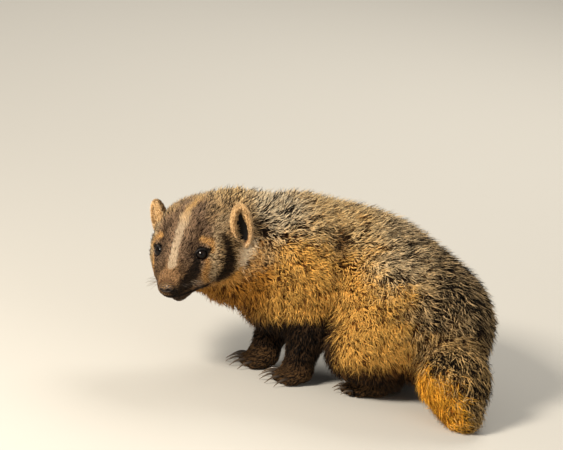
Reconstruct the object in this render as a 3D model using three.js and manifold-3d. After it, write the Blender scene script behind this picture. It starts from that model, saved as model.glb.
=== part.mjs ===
// A young American badger as a life-size museum model. It stands low on four feet with its
// back arched, its body bent to its left and its head turned to that side and lowered.
// Millimetres, +Z up. The head is towards -X and the floor is at Z = 0.
import * as THREE from "three";
import { mergeVertices } from "three/addons/utils/BufferGeometryUtils.js";
import Module from "manifold-3d";

const wasm = await Module();
wasm.setup();

const DEGREE = Math.PI / 180;
const GAP = 0.35; // left between neighbouring pieces

// The head: its own axes run forward to the nose, to the animal's left, and up.
const EYES_MIDDLE = [-171, -84, 140.5];
const HEAD_YAW = 20.5 * DEGREE; // from straight towards -Y, round to -X
const HEAD_PITCH = 25.5 * DEGREE; // nose down
const HEAD_TILT = 12.5 * DEGREE; // left side up

// The hindquarters and forequarters, seen from above, are turned opposite ways.
const HIP_YAW = 33 * DEGREE;
const LOIN_YAW = 14 * DEGREE;
const RIB_YAW = -6 * DEGREE;
const SHOULDER_YAW = -28 * DEGREE;

// Small vector sums on arrays of three numbers.
const add = (a, b) => [a[0] + b[0], a[1] + b[1], a[2] + b[2]];
const less = (a, b) => [a[0] - b[0], a[1] - b[1], a[2] - b[2]];
const times = (a, s) => [a[0] * s, a[1] * s, a[2] * s];
const dot = (a, b) => a[0] * b[0] + a[1] * b[1] + a[2] * b[2];
const cross = (a, b) => [
  a[1] * b[2] - a[2] * b[1],
  a[2] * b[0] - a[0] * b[2],
  a[0] * b[1] - a[1] * b[0],
];
const size = (a) => Math.hypot(...a);
const unit = (a) => times(a, 1 / (size(a) || 1));

// Three axes (forward, left, up) for a heading towards -X, turned by yaw away from the viewer.
const heading = (yaw) => [
  [-Math.cos(yaw), Math.sin(yaw), 0],
  [-Math.sin(yaw), -Math.cos(yaw), 0],
  [0, 0, 1],
];

function headAxes() {
  const level = [Math.cos(HEAD_YAW), -Math.sin(HEAD_YAW), 0];
  const forward = [
    -Math.sin(HEAD_YAW) * Math.cos(HEAD_PITCH),
    -Math.cos(HEAD_YAW) * Math.cos(HEAD_PITCH),
    -Math.sin(HEAD_PITCH),
  ];
  const upright = cross(forward, level);
  const left = add(times(level, Math.cos(HEAD_TILT)), times(upright, Math.sin(HEAD_TILT)));
  return [forward, left, cross(forward, left)];
}
const HEAD = headAxes();

// A point given in the head's own axes, from the middle between the eyes.
const inHead = (f, l, u) =>
  add(EYES_MIDDLE, add(times(HEAD[0], f), add(times(HEAD[1], l), times(HEAD[2], u))));

// Rounded shapes as distance functions. Each is blended into the body with its own softness.
function ball(centre, radii, axes = heading(0), soft = 20) {
  const distance = (p) => {
    const d = less(p, centre);
    let near = 0;
    let slope = 0;
    for (let i = 0; i < 3; i++) {
      const q = dot(d, axes[i]) / radii[i];
      near += q * q;
      slope += (q / radii[i]) ** 2;
    }
    near = Math.sqrt(near);
    return near < 1e-6 ? -Math.min(...radii) : (near * (near - 1)) / Math.sqrt(slope);
  };
  return { distance, soft, reach: [centre, Math.max(...radii)] };
}

function limb(start, end, startRadius, endRadius, soft = 12) {
  const along = less(end, start);
  const square = dot(along, along);
  const distance = (p) => {
    const t = Math.min(1, Math.max(0, dot(less(p, start), along) / square));
    return size(less(p, add(start, times(along, t)))) - (startRadius + (endRadius - startRadius) * t);
  };
  const middle = times(add(start, end), 0.5);
  return { distance, soft, reach: [middle, size(along) / 2 + Math.max(startRadius, endRadius)] };
}

const field = (shapes) => (p) => {
  let result = 1e6;
  for (const { distance, soft } of shapes) {
    const d = distance(p);
    const h = Math.max(soft - Math.abs(result - d), 0) / soft;
    result = Math.min(result, d) - (h * h * soft) / 4;
  }
  return result;
};

const SIDES = { left: 1, right: -1 };

const hipAxes = heading(HIP_YAW);
const loinAxes = heading(LOIN_YAW);
const ribAxes = heading(RIB_YAW);
const shoulderAxes = heading(SHOULDER_YAW);

// The joints of each leg from the body down, the middle of its sole, and where its toes point.
const FORELEGS = {
  left: { shoulder: [-30, -38, 98], elbow: [-13, -48, 62], wrist: [-18, -54, 26], paw: [-25, -60], toes: -18 },
  right: { shoulder: [-62, 34, 98], elbow: [-46, 14, 60], wrist: [-58, -6, 26], paw: [-66, -18], toes: -12 },
};
const HINDLEGS = {
  left: { thigh: [64, -60, 92], knee: [43, -78, 55], heel: [88, -64, 24], paw: [58, -67], toes: 3 },
  right: { thigh: [105, 9, 88], knee: [103, 35, 62], heel: [129, 20, 24], paw: [107, 33], toes: 26 },
};

// Where the nape and the throat meet the head.
const NAPE = [-114, -14, 157];
const GULLET = [-112, -44, 112];

// The body's masses at the surface of the coat.
const torsoShapes = [
  ball([4, 14, 119], [72, 74, 79], ribAxes),
  ball([56, 2, 116], [72, 76, 78], loinAxes, 30),
  ball([102, -26, 96], [75, 75, 75], hipAxes, 30),
  ball([140, -34, 80], [54, 62, 62], hipAxes, 30),
  ball([-42, 4, 124], [60, 68, 71], shoulderAxes, 30),
  ball([-56, -22, 92], [38, 46, 46], shoulderAxes, 24),
  limb([-62, -2, 140], NAPE, 62, 40, 30),
  limb([-60, -18, 104], GULLET, 40, 29, 30),
];
const forelegShapes = (side) => {
  const { shoulder, elbow, wrist } = FORELEGS[side];
  return [limb(shoulder, elbow, 34, 25, 20), limb(elbow, wrist, 25, 18, 10)];
};
const thighShapes = (side) => {
  const { thigh, knee } = HINDLEGS[side];
  return [ball(thigh, [56, 42, 72], hipAxes, 14), limb(add(thigh, [0, 0, -14]), knee, 44, 34, 16)];
};
const shankShapes = (side) => [limb(HINDLEGS[side].knee, HINDLEGS[side].heel, 30, 17, 10)];

// The skull, muzzle, jaws, cheeks and throat, in the head's own axes.
const CHEEK_OUT = { 1: 29, "-1": 26.5 };
const headShapes = [
  ball(inHead(-41, 0, -7), [45, 45.5, 38.5], HEAD, 10),
  ball(inHead(-14, 0, -7), [30, 29.5, 24], HEAD, 14),
  limb(inHead(2, 0, -14), inHead(36, 0, -20), 23, 14.5, 14),
  limb(inHead(-15, 0, -38), inHead(26, 0, -38), 18, 10, 10),
  limb(inHead(-52, -8, -17), NAPE, 38, 40, 20),
  limb(inHead(-40, 0, -30), GULLET, 30, 29, 24),
];
for (const side of Object.values(SIDES)) {
  headShapes.push(
    ball(inHead(-26, CHEEK_OUT[side] * side, -20), [34, 26, 31], HEAD, 14),
    ball(inHead(2, 22 * side, -22), [22, 14, 17], HEAD, 12),
    ball(inHead(22, 9 * side, -23), [18, 12, 13], HEAD, 12),
    limb(inHead(36, 7 * side, -26), inHead(4, 21 * side, -33), 6, 8, 6),
    ball(inHead(-50, 42 * side, -4), [11, 11, 16], HEAD, 9),
  );
}

// The corners and edges of a grid cell, and the pairs of corners across its sides.
const CORNERS = [0, 1, 2, 3, 4, 5, 6, 7].map((c) => [c & 1, (c >> 1) & 1, (c >> 2) & 1]);
const CELL_EDGES = [];
const CELL_DIAGONALS = [];
for (let i = 0; i < 8; i++)
  for (let j = i + 1; j < 8; j++) {
    const apart = size(less(CORNERS[i], CORNERS[j]));
    if (apart === 1) CELL_EDGES.push([i, j]);
    if (apart > 1 && apart < 1.5) CELL_DIAGONALS.push([i, j]);
  }

// The corners of a cell in joined groups: the inner ones along edges, the outer ones also across sides.
function cornerGroups(inside) {
  const group = [0, 1, 2, 3, 4, 5, 6, 7];
  const join = ([i, j]) => {
    const from = group[i];
    const to = group[j];
    if (from !== to) group.forEach((g, corner) => g === from && (group[corner] = to));
  };
  CELL_EDGES.filter(([i, j]) => inside[i] === inside[j]).forEach(join);
  CELL_DIAGONALS.filter(([i, j]) => !inside[i] && !inside[j]).forEach(join);
  return group;
}

// A grid of cells is laid over a field, and each patch of surface in a cell gets one vertex.
function surface(distance, low, high, step) {
  const count = [0, 1, 2].map((i) => Math.ceil((high[i] - low[i]) / step) + 1);
  const at = (i, j, k) => i + count[0] * (j + count[1] * k);
  const place = (i, j, k) => [low[0] + i * step, low[1] + j * step, low[2] + k * step];
  const values = new Float64Array(count[0] * count[1] * count[2]);
  for (let k = 0; k < count[2]; k++)
    for (let j = 0; j < count[1]; j++)
      for (let i = 0; i < count[0]; i++) {
        const border = [i, j, k].some((n, axis) => n === 0 || n === count[axis] - 1);
        values[at(i, j, k)] = border ? step : distance(place(i, j, k));
      }
  const offsets = CORNERS.map((corner) => at(...corner));
  const vertices = [];
  const vertexOf = new Map();
  for (let k = 0; k < count[2] - 1; k++)
    for (let j = 0; j < count[1] - 1; j++)
      for (let i = 0; i < count[0] - 1; i++) {
        const cell = at(i, j, k);
        const level = offsets.map((offset) => values[cell + offset]);
        const inside = level.map((value) => value < 0);
        if (inside.every((value) => value === inside[0])) continue;
        const group = cornerGroups(inside);
        const patches = new Map();
        CELL_EDGES.forEach(([p, q], edge) => {
          if (inside[p] === inside[q]) return;
          const key = inside[p] ? group[p] * 8 + group[q] : group[q] * 8 + group[p];
          if (!patches.has(key)) patches.set(key, { edges: [], sum: [0, 0, 0] });
          const patch = patches.get(key);
          const t = level[p] / (level[p] - level[q]);
          patch.edges.push(edge);
          patch.sum = add(patch.sum, add(times(CORNERS[p], 1 - t), times(CORNERS[q], t)));
        });
        for (const { edges, sum } of patches.values()) {
          for (const edge of edges) vertexOf.set(cell * 12 + edge, vertices.length);
          const point = add(place(i, j, k), times(sum, step / edges.length));
          vertices.push(settle(point, distance, step));
        }
      }
  const faces = [];
  const steps = [at(1, 0, 0), at(0, 1, 0), at(0, 0, 1)];
  for (let k = 0; k < count[2] - 1; k++)
    for (let j = 0; j < count[1] - 1; j++)
      for (let i = 0; i < count[0] - 1; i++)
        for (let axis = 0; axis < 3; axis++) {
          const here = at(i, j, k);
          const inside = values[here] < 0;
          if (inside === values[here + steps[axis]] < 0) continue;
          const u = (axis + 1) % 3;
          const v = (axis + 2) % 3;
          const around = [[0, 0], [1, 0], [1, 1], [0, 1]];
          const ring = around.map(([du, dv]) => {
            const start = (du << u) | (dv << v);
            const edge = CELL_EDGES.findIndex(([p, q]) => p === start && q === (start | (1 << axis)));
            return vertexOf.get((here - du * steps[u] - dv * steps[v]) * 12 + edge);
          });
          if (!inside) ring.reverse();
          faces.push(ring[0], ring[1], ring[2], ring[0], ring[2], ring[3]);
        }
  return { vertices, faces };
}

function slopeAt(p, distance) {
  const d = 0.5;
  return unit([0, 1, 2].map((i) => {
    const forward = [...p];
    const back = [...p];
    forward[i] += d;
    back[i] -= d;
    return distance(forward) - distance(back);
  }));
}

// Moves a point onto a field's surface, unless that is far off.
function settle(p, distance, most) {
  let point = p;
  for (let i = 0; i < 3; i++) point = less(point, times(slopeAt(point, distance), distance(point)));
  return size(less(point, p)) < most ? point : p;
}

// A closed mesh as a solid that can be cut and joined.
function solid({ vertices, faces }) {
  return new wasm.Manifold(
    new wasm.Mesh({
      numProp: 3,
      vertProperties: new Float32Array(vertices.flat()),
      triVerts: new Uint32Array(faces),
    }),
  );
}

// The solid under a field's surface, within a box if one is given, on the first grid that is clean.
function moulded(shapes, step, { inset = 0, box } = {}) {
  const distance = field(shapes);
  const low = box ? [...box[0]] : [1e6, 1e6, 1e6];
  const high = box ? [...box[1]] : [-1e6, -1e6, -1e6];
  if (!box)
    for (const { reach } of shapes)
      for (let i = 0; i < 3; i++) {
        low[i] = Math.min(low[i], reach[0][i] - reach[1] - 2 * step - 6);
        high[i] = Math.max(high[i], reach[0][i] + reach[1] + 2 * step + 6);
      }
  const tries = 6;
  for (let attempt = 1; ; attempt++) {
    const shift = ((attempt - 1) * step) / (tries + 1);
    try {
      const depth = typeof inset === "function" ? inset : () => inset;
      return solid(surface((p) => distance(p) + depth(p), less(low, [shift, shift, shift]), high, step));
    } catch (error) {
      if (attempt === tries) throw error;
    }
  }
}

// A three.js geometry as a solid.
function fromGeometry(geometry) {
  const bare = geometry.clone();
  bare.deleteAttribute("normal");
  bare.deleteAttribute("uv");
  const merged = mergeVertices(bare, 1e-4);
  return new wasm.Manifold(
    new wasm.Mesh({
      numProp: 3,
      vertProperties: new Float32Array(merged.attributes.position.array),
      triVerts: new Uint32Array(merged.index.array),
    }),
  );
}

// An ellipsoid turned by its axes.
function egg(centre, radii, axes, sides = 14) {
  const geometry = new THREE.SphereGeometry(1, sides, Math.round(sides * 0.7));
  const columns = axes.map((axis, i) => new THREE.Vector3(...times(axis, radii[i])));
  geometry.applyMatrix4(new THREE.Matrix4().makeBasis(...columns).setPosition(...centre));
  return fromGeometry(geometry);
}

// A block on its axes: the middle of the face that its third axis leaves is at the point.
function block(point, axes, sizes) {
  const geometry = new THREE.BoxGeometry(...sizes).translate(0, 0, sizes[2] / 2);
  geometry.applyMatrix4(
    new THREE.Matrix4().makeBasis(...axes.map((a) => new THREE.Vector3(...a))).setPosition(...point),
  );
  return fromGeometry(geometry);
}

// Axes whose third runs along a direction.
function axesAlong(direction) {
  const third = unit(direction);
  const first = unit(cross(Math.abs(third[2]) > 0.9 ? [1, 0, 0] : [0, 0, 1], third));
  return [first, cross(third, first), third];
}

// What lies ahead of a plane, or behind it, a half gap away.
const WIDE = 600;
const ahead = (made, { point, normal }) =>
  made.intersect(block(add(point, times(unit(normal), GAP / 2)), axesAlong(normal), [WIDE, WIDE, WIDE]));
const behind = (made, { point, normal }) => ahead(made, { point, normal: times(normal, -1) });

// A round tube through points with a radius at each, with rounded-off closed ends.
function tube(points, radii, sides = 8) {
  const vertices = [points[0]];
  const faces = [];
  points.forEach((point, i) => {
    const [first, second] = axesAlong(less(points[Math.min(i + 1, points.length - 1)], points[Math.max(i - 1, 0)]));
    for (let s = 0; s < sides; s++) {
      const angle = (2 * Math.PI * s) / sides;
      vertices.push(
        add(point, add(times(first, radii[i] * Math.cos(angle)), times(second, radii[i] * Math.sin(angle)))),
      );
    }
  });
  vertices.push(points[points.length - 1]);
  const last = vertices.length - 1;
  const at = (ring, s) => 1 + ring * sides + (s % sides);
  for (let s = 0; s < sides; s++) {
    faces.push(0, at(0, s + 1), at(0, s));
    faces.push(last, at(points.length - 1, s), at(points.length - 1, s + 1));
    for (let ring = 0; ring + 1 < points.length; ring++) {
      faces.push(at(ring, s), at(ring, s + 1), at(ring + 1, s));
      faces.push(at(ring, s + 1), at(ring + 1, s + 1), at(ring + 1, s));
    }
  }
  return solid({ vertices, faces });
}

// The solid with its surface moved out by a small distance.
function swollen(made, by) {
  const { numProp, vertProperties, triVerts } = made.getMesh();
  const vertices = [];
  for (let v = 0; v < vertProperties.length; v += numProp) vertices.push([...vertProperties.subarray(v, v + 3)]);
  const normals = vertices.map(() => [0, 0, 0]);
  for (let t = 0; t < triVerts.length; t += 3) {
    const [a, b, c] = triVerts.subarray(t, t + 3);
    const face = cross(less(vertices[b], vertices[a]), less(vertices[c], vertices[a]));
    for (const v of [a, b, c]) normals[v] = add(normals[v], face);
  }
  return solid({ vertices: vertices.map((p, v) => add(p, times(unit(normals[v]), by))), faces: [...triVerts] });
}

// A solid's mesh with the vertices that share a place merged.
function remade(made) {
  const { numProp, vertProperties, triVerts } = made.getMesh();
  const positions = [];
  for (const v of triVerts) positions.push(...vertProperties.subarray(v * numProp, v * numProp + 3));
  const geometry = new THREE.BufferGeometry();
  geometry.setAttribute("position", new THREE.Float32BufferAttribute(positions, 3));
  return fromGeometry(geometry);
}

// The largest closed surface of a solid, without scraps or sealed hollows.
function largest(made) {
  const first = (solids) => solids.sort((a, b) => b.volume() - a.volume())[0];
  return first(remade(first(made.decompose())).decompose());
}

// Even draws from 0 to 1 that are the same each time for one seed.
function draws(seed) {
  let state = seed;
  return () => {
    state = (state + 0x6d2b79f5) | 0;
    let mixed = Math.imul(state ^ (state >>> 15), 1 | state);
    mixed = (mixed + Math.imul(mixed ^ (mixed >>> 7), 61 | mixed)) ^ mixed;
    return ((mixed ^ (mixed >>> 14)) >>> 0) / 4294967296;
  };
}

// The lie of the coat: back along the bent spine, and down over the flanks.
const SPINE_YAWS = [[-130, -62], [-90, -45], [-42, -28], [4, -6], [58, 14], [112, 33], [165, 48]];
function spineYaw(x) {
  const after = SPINE_YAWS.findIndex(([place]) => place > x);
  if (after === 0) return SPINE_YAWS[0][1];
  if (after < 0) return SPINE_YAWS[SPINE_YAWS.length - 1][1];
  const [[x0, yaw0], [x1, yaw1]] = SPINE_YAWS.slice(after - 1, after + 1);
  return yaw0 + ((yaw1 - yaw0) * (x - x0)) / (x1 - x0);
}
const FLANK_DROOP = 0.85;
function bodyLie(p, normal) {
  const back = times(heading(spineYaw(p[0]) * DEGREE)[0], -1);
  const droop = 0.12 + FLANK_DROOP * Math.min(1, Math.max(0, 1 - normal[2]));
  return add(back, [0, 0, -droop]);
}
const thighLie = (p, normal) => add(times(hipAxes[0], -1), [0, 0, -1.1 + 0.8 * Math.max(0, normal[2])]);

// A lock is a flat blade: its root is sunk in the core and its tip lies at the coat's surface.
const LOCK = { length: 58, width: 33, thickness: 6.5, along: 34, across: 25.5 };
const CORE_DEPTH = 8; // from the tips down to the core
const ROOT_DEPTH = 13;
const LOCK_RINGS = [
  { t: 0, depth: ROOT_DEPTH, width: 0.6, thickness: 0.9 },
  { t: 0.5, depth: 5, width: 1, thickness: 1 },
];

function makeLock(root, distance, lie, draw, scale) {
  const length = LOCK.length * scale * (0.85 + 0.3 * draw());
  const width = LOCK.width * scale * (0.85 + 0.3 * draw());
  const veer = (draw() - 0.5) * 0.5;
  const vertices = [];
  const faces = [];
  let point = root;
  let reached = 0;
  let way = [1, 0, 0];
  let normal = [0, 0, 1];
  const walkTo = (t) => {
    const pieces = 3;
    for (let i = 0; i < pieces; i++) {
      normal = slopeAt(point, distance);
      const wanted = lie(point, normal);
      const flat = unit(less(wanted, times(normal, dot(wanted, normal))));
      way = unit(add(flat, times(cross(normal, flat), veer)));
      point = add(point, times(way, ((t - reached) * length) / pieces));
      point = less(point, times(slopeAt(point, distance), distance(point)));
    }
    reached = t;
    normal = slopeAt(point, distance);
  };
  for (const ring of LOCK_RINGS) {
    walkTo(ring.t);
    const middle = less(point, times(normal, ring.depth));
    const across = times(unit(cross(normal, way)), (width * ring.width) / 2);
    const up = times(normal, LOCK.thickness * ring.thickness * 0.7);
    for (const side of [across, up, times(across, -1)]) {
      const vertex = add(middle, side);
      const high = side === up ? 0 : distance(vertex) + ring.depth;
      vertices.push(less(vertex, times(normal, Math.max(0, Math.min(high, 6)))));
    }
  }
  const bent = normal;
  walkTo(1);
  if (dot(bent, normal) < 0.6) return null;
  const tip = vertices.push(less(point, times(normal, 0.2))) - 1;
  const corners = 3;
  for (let ring = 0; ring < LOCK_RINGS.length; ring++)
    for (let c = 0; c < corners; c++) {
      const a = ring * corners + c;
      const b = ring * corners + ((c + 1) % corners);
      if (ring + 1 === LOCK_RINGS.length) faces.push(a, b, tip);
      else faces.push(a, b, b + corners, a, b + corners, a + corners);
    }
  faces.push(0, 2, 1);
  return solid({ vertices, faces });
}

// Roots spread evenly over the part of a surface that is wanted, closer across the lie than along it.
function spreadRoots(outer, distance, lie, wanted, draw, scale) {
  const { numProp, vertProperties, triVerts } = outer.getMesh();
  const corner = (v) => [...vertProperties.subarray(v * numProp, v * numProp + 3)];
  const triangles = [];
  let area = 0;
  for (let t = 0; t < triVerts.length; t += 3) {
    const [a, b, c] = [...triVerts.subarray(t, t + 3)].map(corner);
    area += size(cross(less(b, a), less(c, a))) / 2;
    triangles.push({ a, b, c, upTo: area });
  }
  const roots = [];
  const tries = Math.round(area / 12);
  for (let i = 0; i < tries; i++) {
    const picked = draw() * area;
    const { a, b, c } = triangles.find(({ upTo }) => upTo >= picked);
    let [u, v] = [draw(), draw()];
    if (u + v > 1) [u, v] = [1 - u, 1 - v];
    const point = settle(add(a, add(times(less(b, a), u), times(less(c, a), v))), distance, 30);
    const normal = slopeAt(point, distance);
    if (!wanted(point, normal)) continue;
    const way = lie(point, normal);
    const flat = unit(less(way, times(normal, dot(way, normal))));
    const side = cross(normal, flat);
    const clear = roots.every(({ point: other }) => {
      const apart = less(other, point);
      return Math.hypot(dot(apart, flat) / LOCK.along, dot(apart, side) / LOCK.across) > scale;
    });
    if (clear && size(normal) > 0.5) roots.push({ point });
  }
  return roots.map(({ point }) => point);
}

// A coat of locks on a core, over the wanted part of a field's surface.
function coated(shapes, { step, seed, lie, wanted, scale = 1, coreDepth = () => CORE_DEPTH }) {
  const distance = field(shapes);
  const draw = draws(seed);
  const outer = moulded(shapes, step);
  const core = moulded(shapes, step, { inset: coreDepth });
  const roots = spreadRoots(outer, distance, lie, wanted, draw, scale);
  const locks = roots.map((root) => makeLock(root, distance, lie, draw, scale)).filter((lock) => lock);
  return wasm.Manifold.union([core, ...locks]);
}

// How far a point lies ahead of a plane.
const aheadOf = ({ point, normal }, p) => dot(less(p, point), unit(normal));
// The core comes up to the tips where a coat begins at a seam.
const SEAM_RAMP = 26;
const ramp = (value) => Math.min(1, Math.max(0.15, value));
const coreBehind = (cut) => (p) => CORE_DEPTH * ramp(-aheadOf(cut, p) / SEAM_RAMP) * ramp((p[2] - 26) / 40);

const badger = new THREE.Group();

function node(name, made, colour, roughness = 0.9) {
  const { numProp, vertProperties, triVerts } = made.getMesh();
  const geometry = new THREE.BufferGeometry();
  const positions = [];
  for (const v of triVerts)
    positions.push(...vertProperties.subarray(v * numProp, v * numProp + 3));
  geometry.setAttribute("position", new THREE.Float32BufferAttribute(positions, 3));
  geometry.computeVertexNormals();
  const material = new THREE.MeshStandardMaterial({ color: colour, roughness, metalness: 0 });
  const mesh = new THREE.Mesh(geometry, material);
  mesh.name = name;
  badger.add(mesh);
}

// The planes that part the head, neck, chest and hindquarters. Each normal points forward.
const NECK_CUT = { point: [-98, -57, 150], normal: [-0.58, -0.81, 0] };
const SHOULDER_CUT = { point: [-62, -16, 130], normal: [-0.97, -0.24, 0] };
const LOIN_CUT = { point: [32, 10, 118], normal: [-1, 0.12, 0] };
const FLOOR_CUT = { point: [0, 0, -GAP / 2], normal: [0, 0, 1] };
const ANKLE_CUT = { point: [0, 0, 24], normal: [0, 0, 1] };

// The eyes sit in the skull with a little of each ball standing out of it.
const EYE_RADIUS = 6.4;
const LID_THICKNESS = 1.6;
const EYE_OUT = { 1: 26, "-1": 23.5 };
const eyeWay = (side) =>
  unit(add(times(HEAD[0], 0.74), add(times(HEAD[1], 0.6 * side), times(HEAD[2], 0.3))));
const eyeAxes = (side) => {
  const way = eyeWay(side);
  const across = unit(cross(HEAD[2], way));
  return [across, cross(way, across), way];
};

function eyeCentre(side) {
  const distance = field(headShapes);
  const way = eyeWay(side);
  let point = inHead(0, EYE_OUT[side] * side, 0);
  for (let i = 0; i < 8; i++) point = less(point, times(way, distance(point) + EYE_RADIUS * 0.55));
  return point;
}

// The nose pad with its two nostrils.
const NOSE = { centre: inHead(46, 0, -15), radii: [7.5, 9.5, 7] };
function makeNose() {
  let nose = egg(NOSE.centre, NOSE.radii, HEAD, 12);
  for (const side of Object.values(SIDES))
    nose = nose.subtract(egg(inHead(53, 4.2 * side, -15.5), [4.5, 2, 2.6], HEAD, 7));
  return nose;
}

// The mouth is a groove along a sloping plane, as deep as the lips are thick.
const LIP_THICKNESS = 3;
function mouthGroove() {
  const slope = 14 * DEGREE;
  const along = add(times(HEAD[0], Math.cos(slope)), times(HEAD[2], Math.sin(slope)));
  const axes = [along, HEAD[1], cross(along, HEAD[1])];
  const slab = block(add(inHead(28, 0, -31), times(axes[2], -0.6)), axes, [50, 70, 1.2]);
  const inner = headShapes.slice(1).map(({ distance, soft, reach }) => ({ distance, soft, reach }));
  return slab.subtract(moulded(inner, 8, { inset: LIP_THICKNESS, box: headBox }));
}

const headBox = [
  [-226, -142, 54],
  [-46, 26, 214],
];
function makeHead() {
  let head = moulded([...headShapes, ...torsoShapes], 7.5, { box: headBox });
  head = ahead(head, NECK_CUT);
  head = head.subtract(mouthGroove());
  head = head.subtract(egg(NOSE.centre, NOSE.radii.map((r) => r + GAP), HEAD, 12));
  for (const side of Object.values(SIDES)) {
    const centre = eyeCentre(side);
    const axes = eyeAxes(side);
    const lid = EYE_RADIUS + LID_THICKNESS;
    const socket = EYE_RADIUS + GAP;
    head = head.add(egg(centre, [lid, lid, lid], axes, 14));
    head = head.subtract(egg(centre, [socket, socket, socket], axes, 14));
    head = head.subtract(egg(add(centre, times(axes[2], 7)), [6.2, 4.6, 6], axes, 12));
  }
  return largest(head);
}

// Each ear is a cup open forward and outward.
const EAR = { radii: [12.5, 26.5, 9.5], cup: [8.6, 20.5, 8.5], cupForward: 5.5 };
const EAR_PLACES = { 1: [-48, 57, 8], "-1": [-47, -50, 6] };
const EAR_LEANS = { 1: 9, "-1": 4 };
function makeEar(side, head) {
  const opening = add(times(HEAD[0], 0.75), add(times(HEAD[1], 0.62 * side), times(HEAD[2], 0.1)));
  const across = unit(cross(HEAD[2], opening));
  const up = cross(unit(opening), across);
  const lean = (EAR_LEANS[side] * Math.PI) / 180;
  const tip = add(times(up, Math.cos(lean)), times(across, Math.sin(lean)));
  const axes = [cross(tip, unit(opening)), tip, unit(opening)];
  const centre = inHead(...EAR_PLACES[side]);
  const outer = egg(centre, EAR.radii, axes, 12);
  const cup = egg(add(centre, times(axes[2], EAR.cupForward)), EAR.cup, axes, 12);
  return largest(outer.subtract(cup).subtract(swollen(head, GAP)));
}

// The part of space that belongs to a leg: round seams run where its edge meets the coat.
const forelegReach = (side, extra) => {
  const { elbow, paw } = FORELEGS[side];
  return tube(
    [add(elbow, [0, 0, 22]), add(elbow, [0, 0, 14]), elbow, [...paw, 30], [...paw, -5]],
    [22, 30, 33, 28, 28].map((r) => r + extra),
    14,
  );
};
const HINDLEG_REACH = [56, 52, 76];
const hindlegHub = (side) =>
  add(add(HINDLEGS[side].thigh, times(hipAxes[1], 34 * SIDES[side])), [0, 0, -16]);
const hindlegReach = (side, extra) =>
  egg(hindlegHub(side), HINDLEG_REACH.map((r) => r + extra), hipAxes, 18);
const hindlegInside = (side, p) => {
  const apart = less(p, hindlegHub(side));
  return Math.hypot(...hipAxes.map((axis, i) => dot(apart, axis) / HINDLEG_REACH[i]));
};

// A paw with a point given by its own axes from the middle of the sole, and its toes and claws.
const TOES = [-2, -1, 0, 1, 2];
const FOREPAW = { length: 46, width: 40, height: 24, claw: 19 };
const HINDPAW = { length: 58, width: 34, height: 24, claw: 11 };
const CLAW_RADIUS = 2.3;
const inPaw = (leg, f, l, u) => {
  const axes = heading(leg.toes * DEGREE);
  return add([...leg.paw, u], add(times(axes[0], f), times(axes[1], l)));
};

function pawShapes(leg, { length, width, height }) {
  const radius = width * 0.17;
  const middle = inPaw(leg, -length * 0.12, 0, height * 0.55);
  const shapes = [ball(middle, [length * 0.42, width * 0.46, height * 0.6], heading(leg.toes * DEGREE), 8)];
  for (const toe of TOES) {
    const out = toe * width * 0.21;
    const reach = length * (0.36 - 0.045 * toe * toe);
    shapes.push(
      limb(inPaw(leg, 0, out * 0.8, radius), inPaw(leg, reach, out, radius - 1.2), radius, radius * 0.85, 5),
    );
  }
  return shapes;
}

function makeClaw(root, way, length) {
  const points = [];
  const radii = [];
  const rings = 2;
  for (let i = 0; i <= rings; i++) {
    const t = i / rings;
    points.push(add(root, add(times(way, length * t), [0, 0, -0.32 * length * t * t])));
    radii.push(CLAW_RADIUS * (1 - 0.85 * t));
  }
  return tube(points, radii, 4);
}

function makePaw(leg, legShapes, paw) {
  const reach = paw.length * 0.75;
  const box = [
    [leg.paw[0] - reach, leg.paw[1] - reach, -12],
    [leg.paw[0] + reach, leg.paw[1] + reach, 40],
  ];
  let made = moulded([...pawShapes(leg, paw), ...legShapes], 7, { box });
  for (const toe of TOES) {
    const out = toe * paw.width * 0.21;
    const forward = paw.length * (0.4 - 0.045 * toe * toe);
    const root = inPaw(leg, forward, out, paw.width * 0.19);
    const tip = inPaw(leg, forward + 10, out * 1.25, paw.width * 0.19);
    made = made.add(makeClaw(root, unit(less(tip, root)), paw.claw));
  }
  return largest(behind(ahead(made, FLOOR_CUT), ANKLE_CUT));
}

// The head and what sits in it.
const head = makeHead();
node("head", head, 0x6b5646);
node("nose", makeNose(), 0x1c1816, 0.4);
for (const [name, side] of Object.entries(SIDES)) {
  node("ear_" + name, makeEar(side, head), 0xc9a36c);
  node("eye_" + name, egg(eyeCentre(side), [EYE_RADIUS, EYE_RADIUS, EYE_RADIUS], HEAD, 12), 0x0b0908, 0.1);
}

// The paws and legs.
const legColour = 0x3a2c22;
for (const side of Object.keys(SIDES)) {
  const fore = FORELEGS[side];
  const hind = HINDLEGS[side];
  const wide = 60;
  const forepaw = makePaw(fore, forelegShapes(side), FOREPAW);
  const hindpaw = makePaw(hind, [...thighShapes(side), ...shankShapes(side)], HINDPAW);
  node("forepaw_" + side, forepaw, legColour);
  node("hindpaw_" + side, hindpaw, legColour);
  const foreBox = [
    [fore.elbow[0] - wide, fore.elbow[1] - wide, 6],
    [fore.elbow[0] + wide, fore.elbow[1] + wide, 112],
  ];
  const foreleg = moulded([...torsoShapes, ...forelegShapes(side)], 10, { box: foreBox });
  const reached = ahead(foreleg, ANKLE_CUT).intersect(forelegReach(side, -GAP));
  node("foreleg_" + side, largest(reached.subtract(hindlegReach(side, 0))), legColour);
  const thigh = coated([...torsoShapes, ...thighShapes(side), ...shankShapes(side)], {
    step: 16,
    seed: 11 + SIDES[side],
    lie: thighLie,
    coreDepth: (p) => CORE_DEPTH * ramp((44 - dot(less(p, hindlegHub(side)), hipAxes[0])) / SEAM_RAMP),
    wanted: (p) => p[2] > 44 && hindlegInside(side, p) < 0.86,
  });
  node("hindleg_" + side, largest(ahead(thigh, ANKLE_CUT).intersect(hindlegReach(side, -GAP))), 0xa97f48);
}

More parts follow.
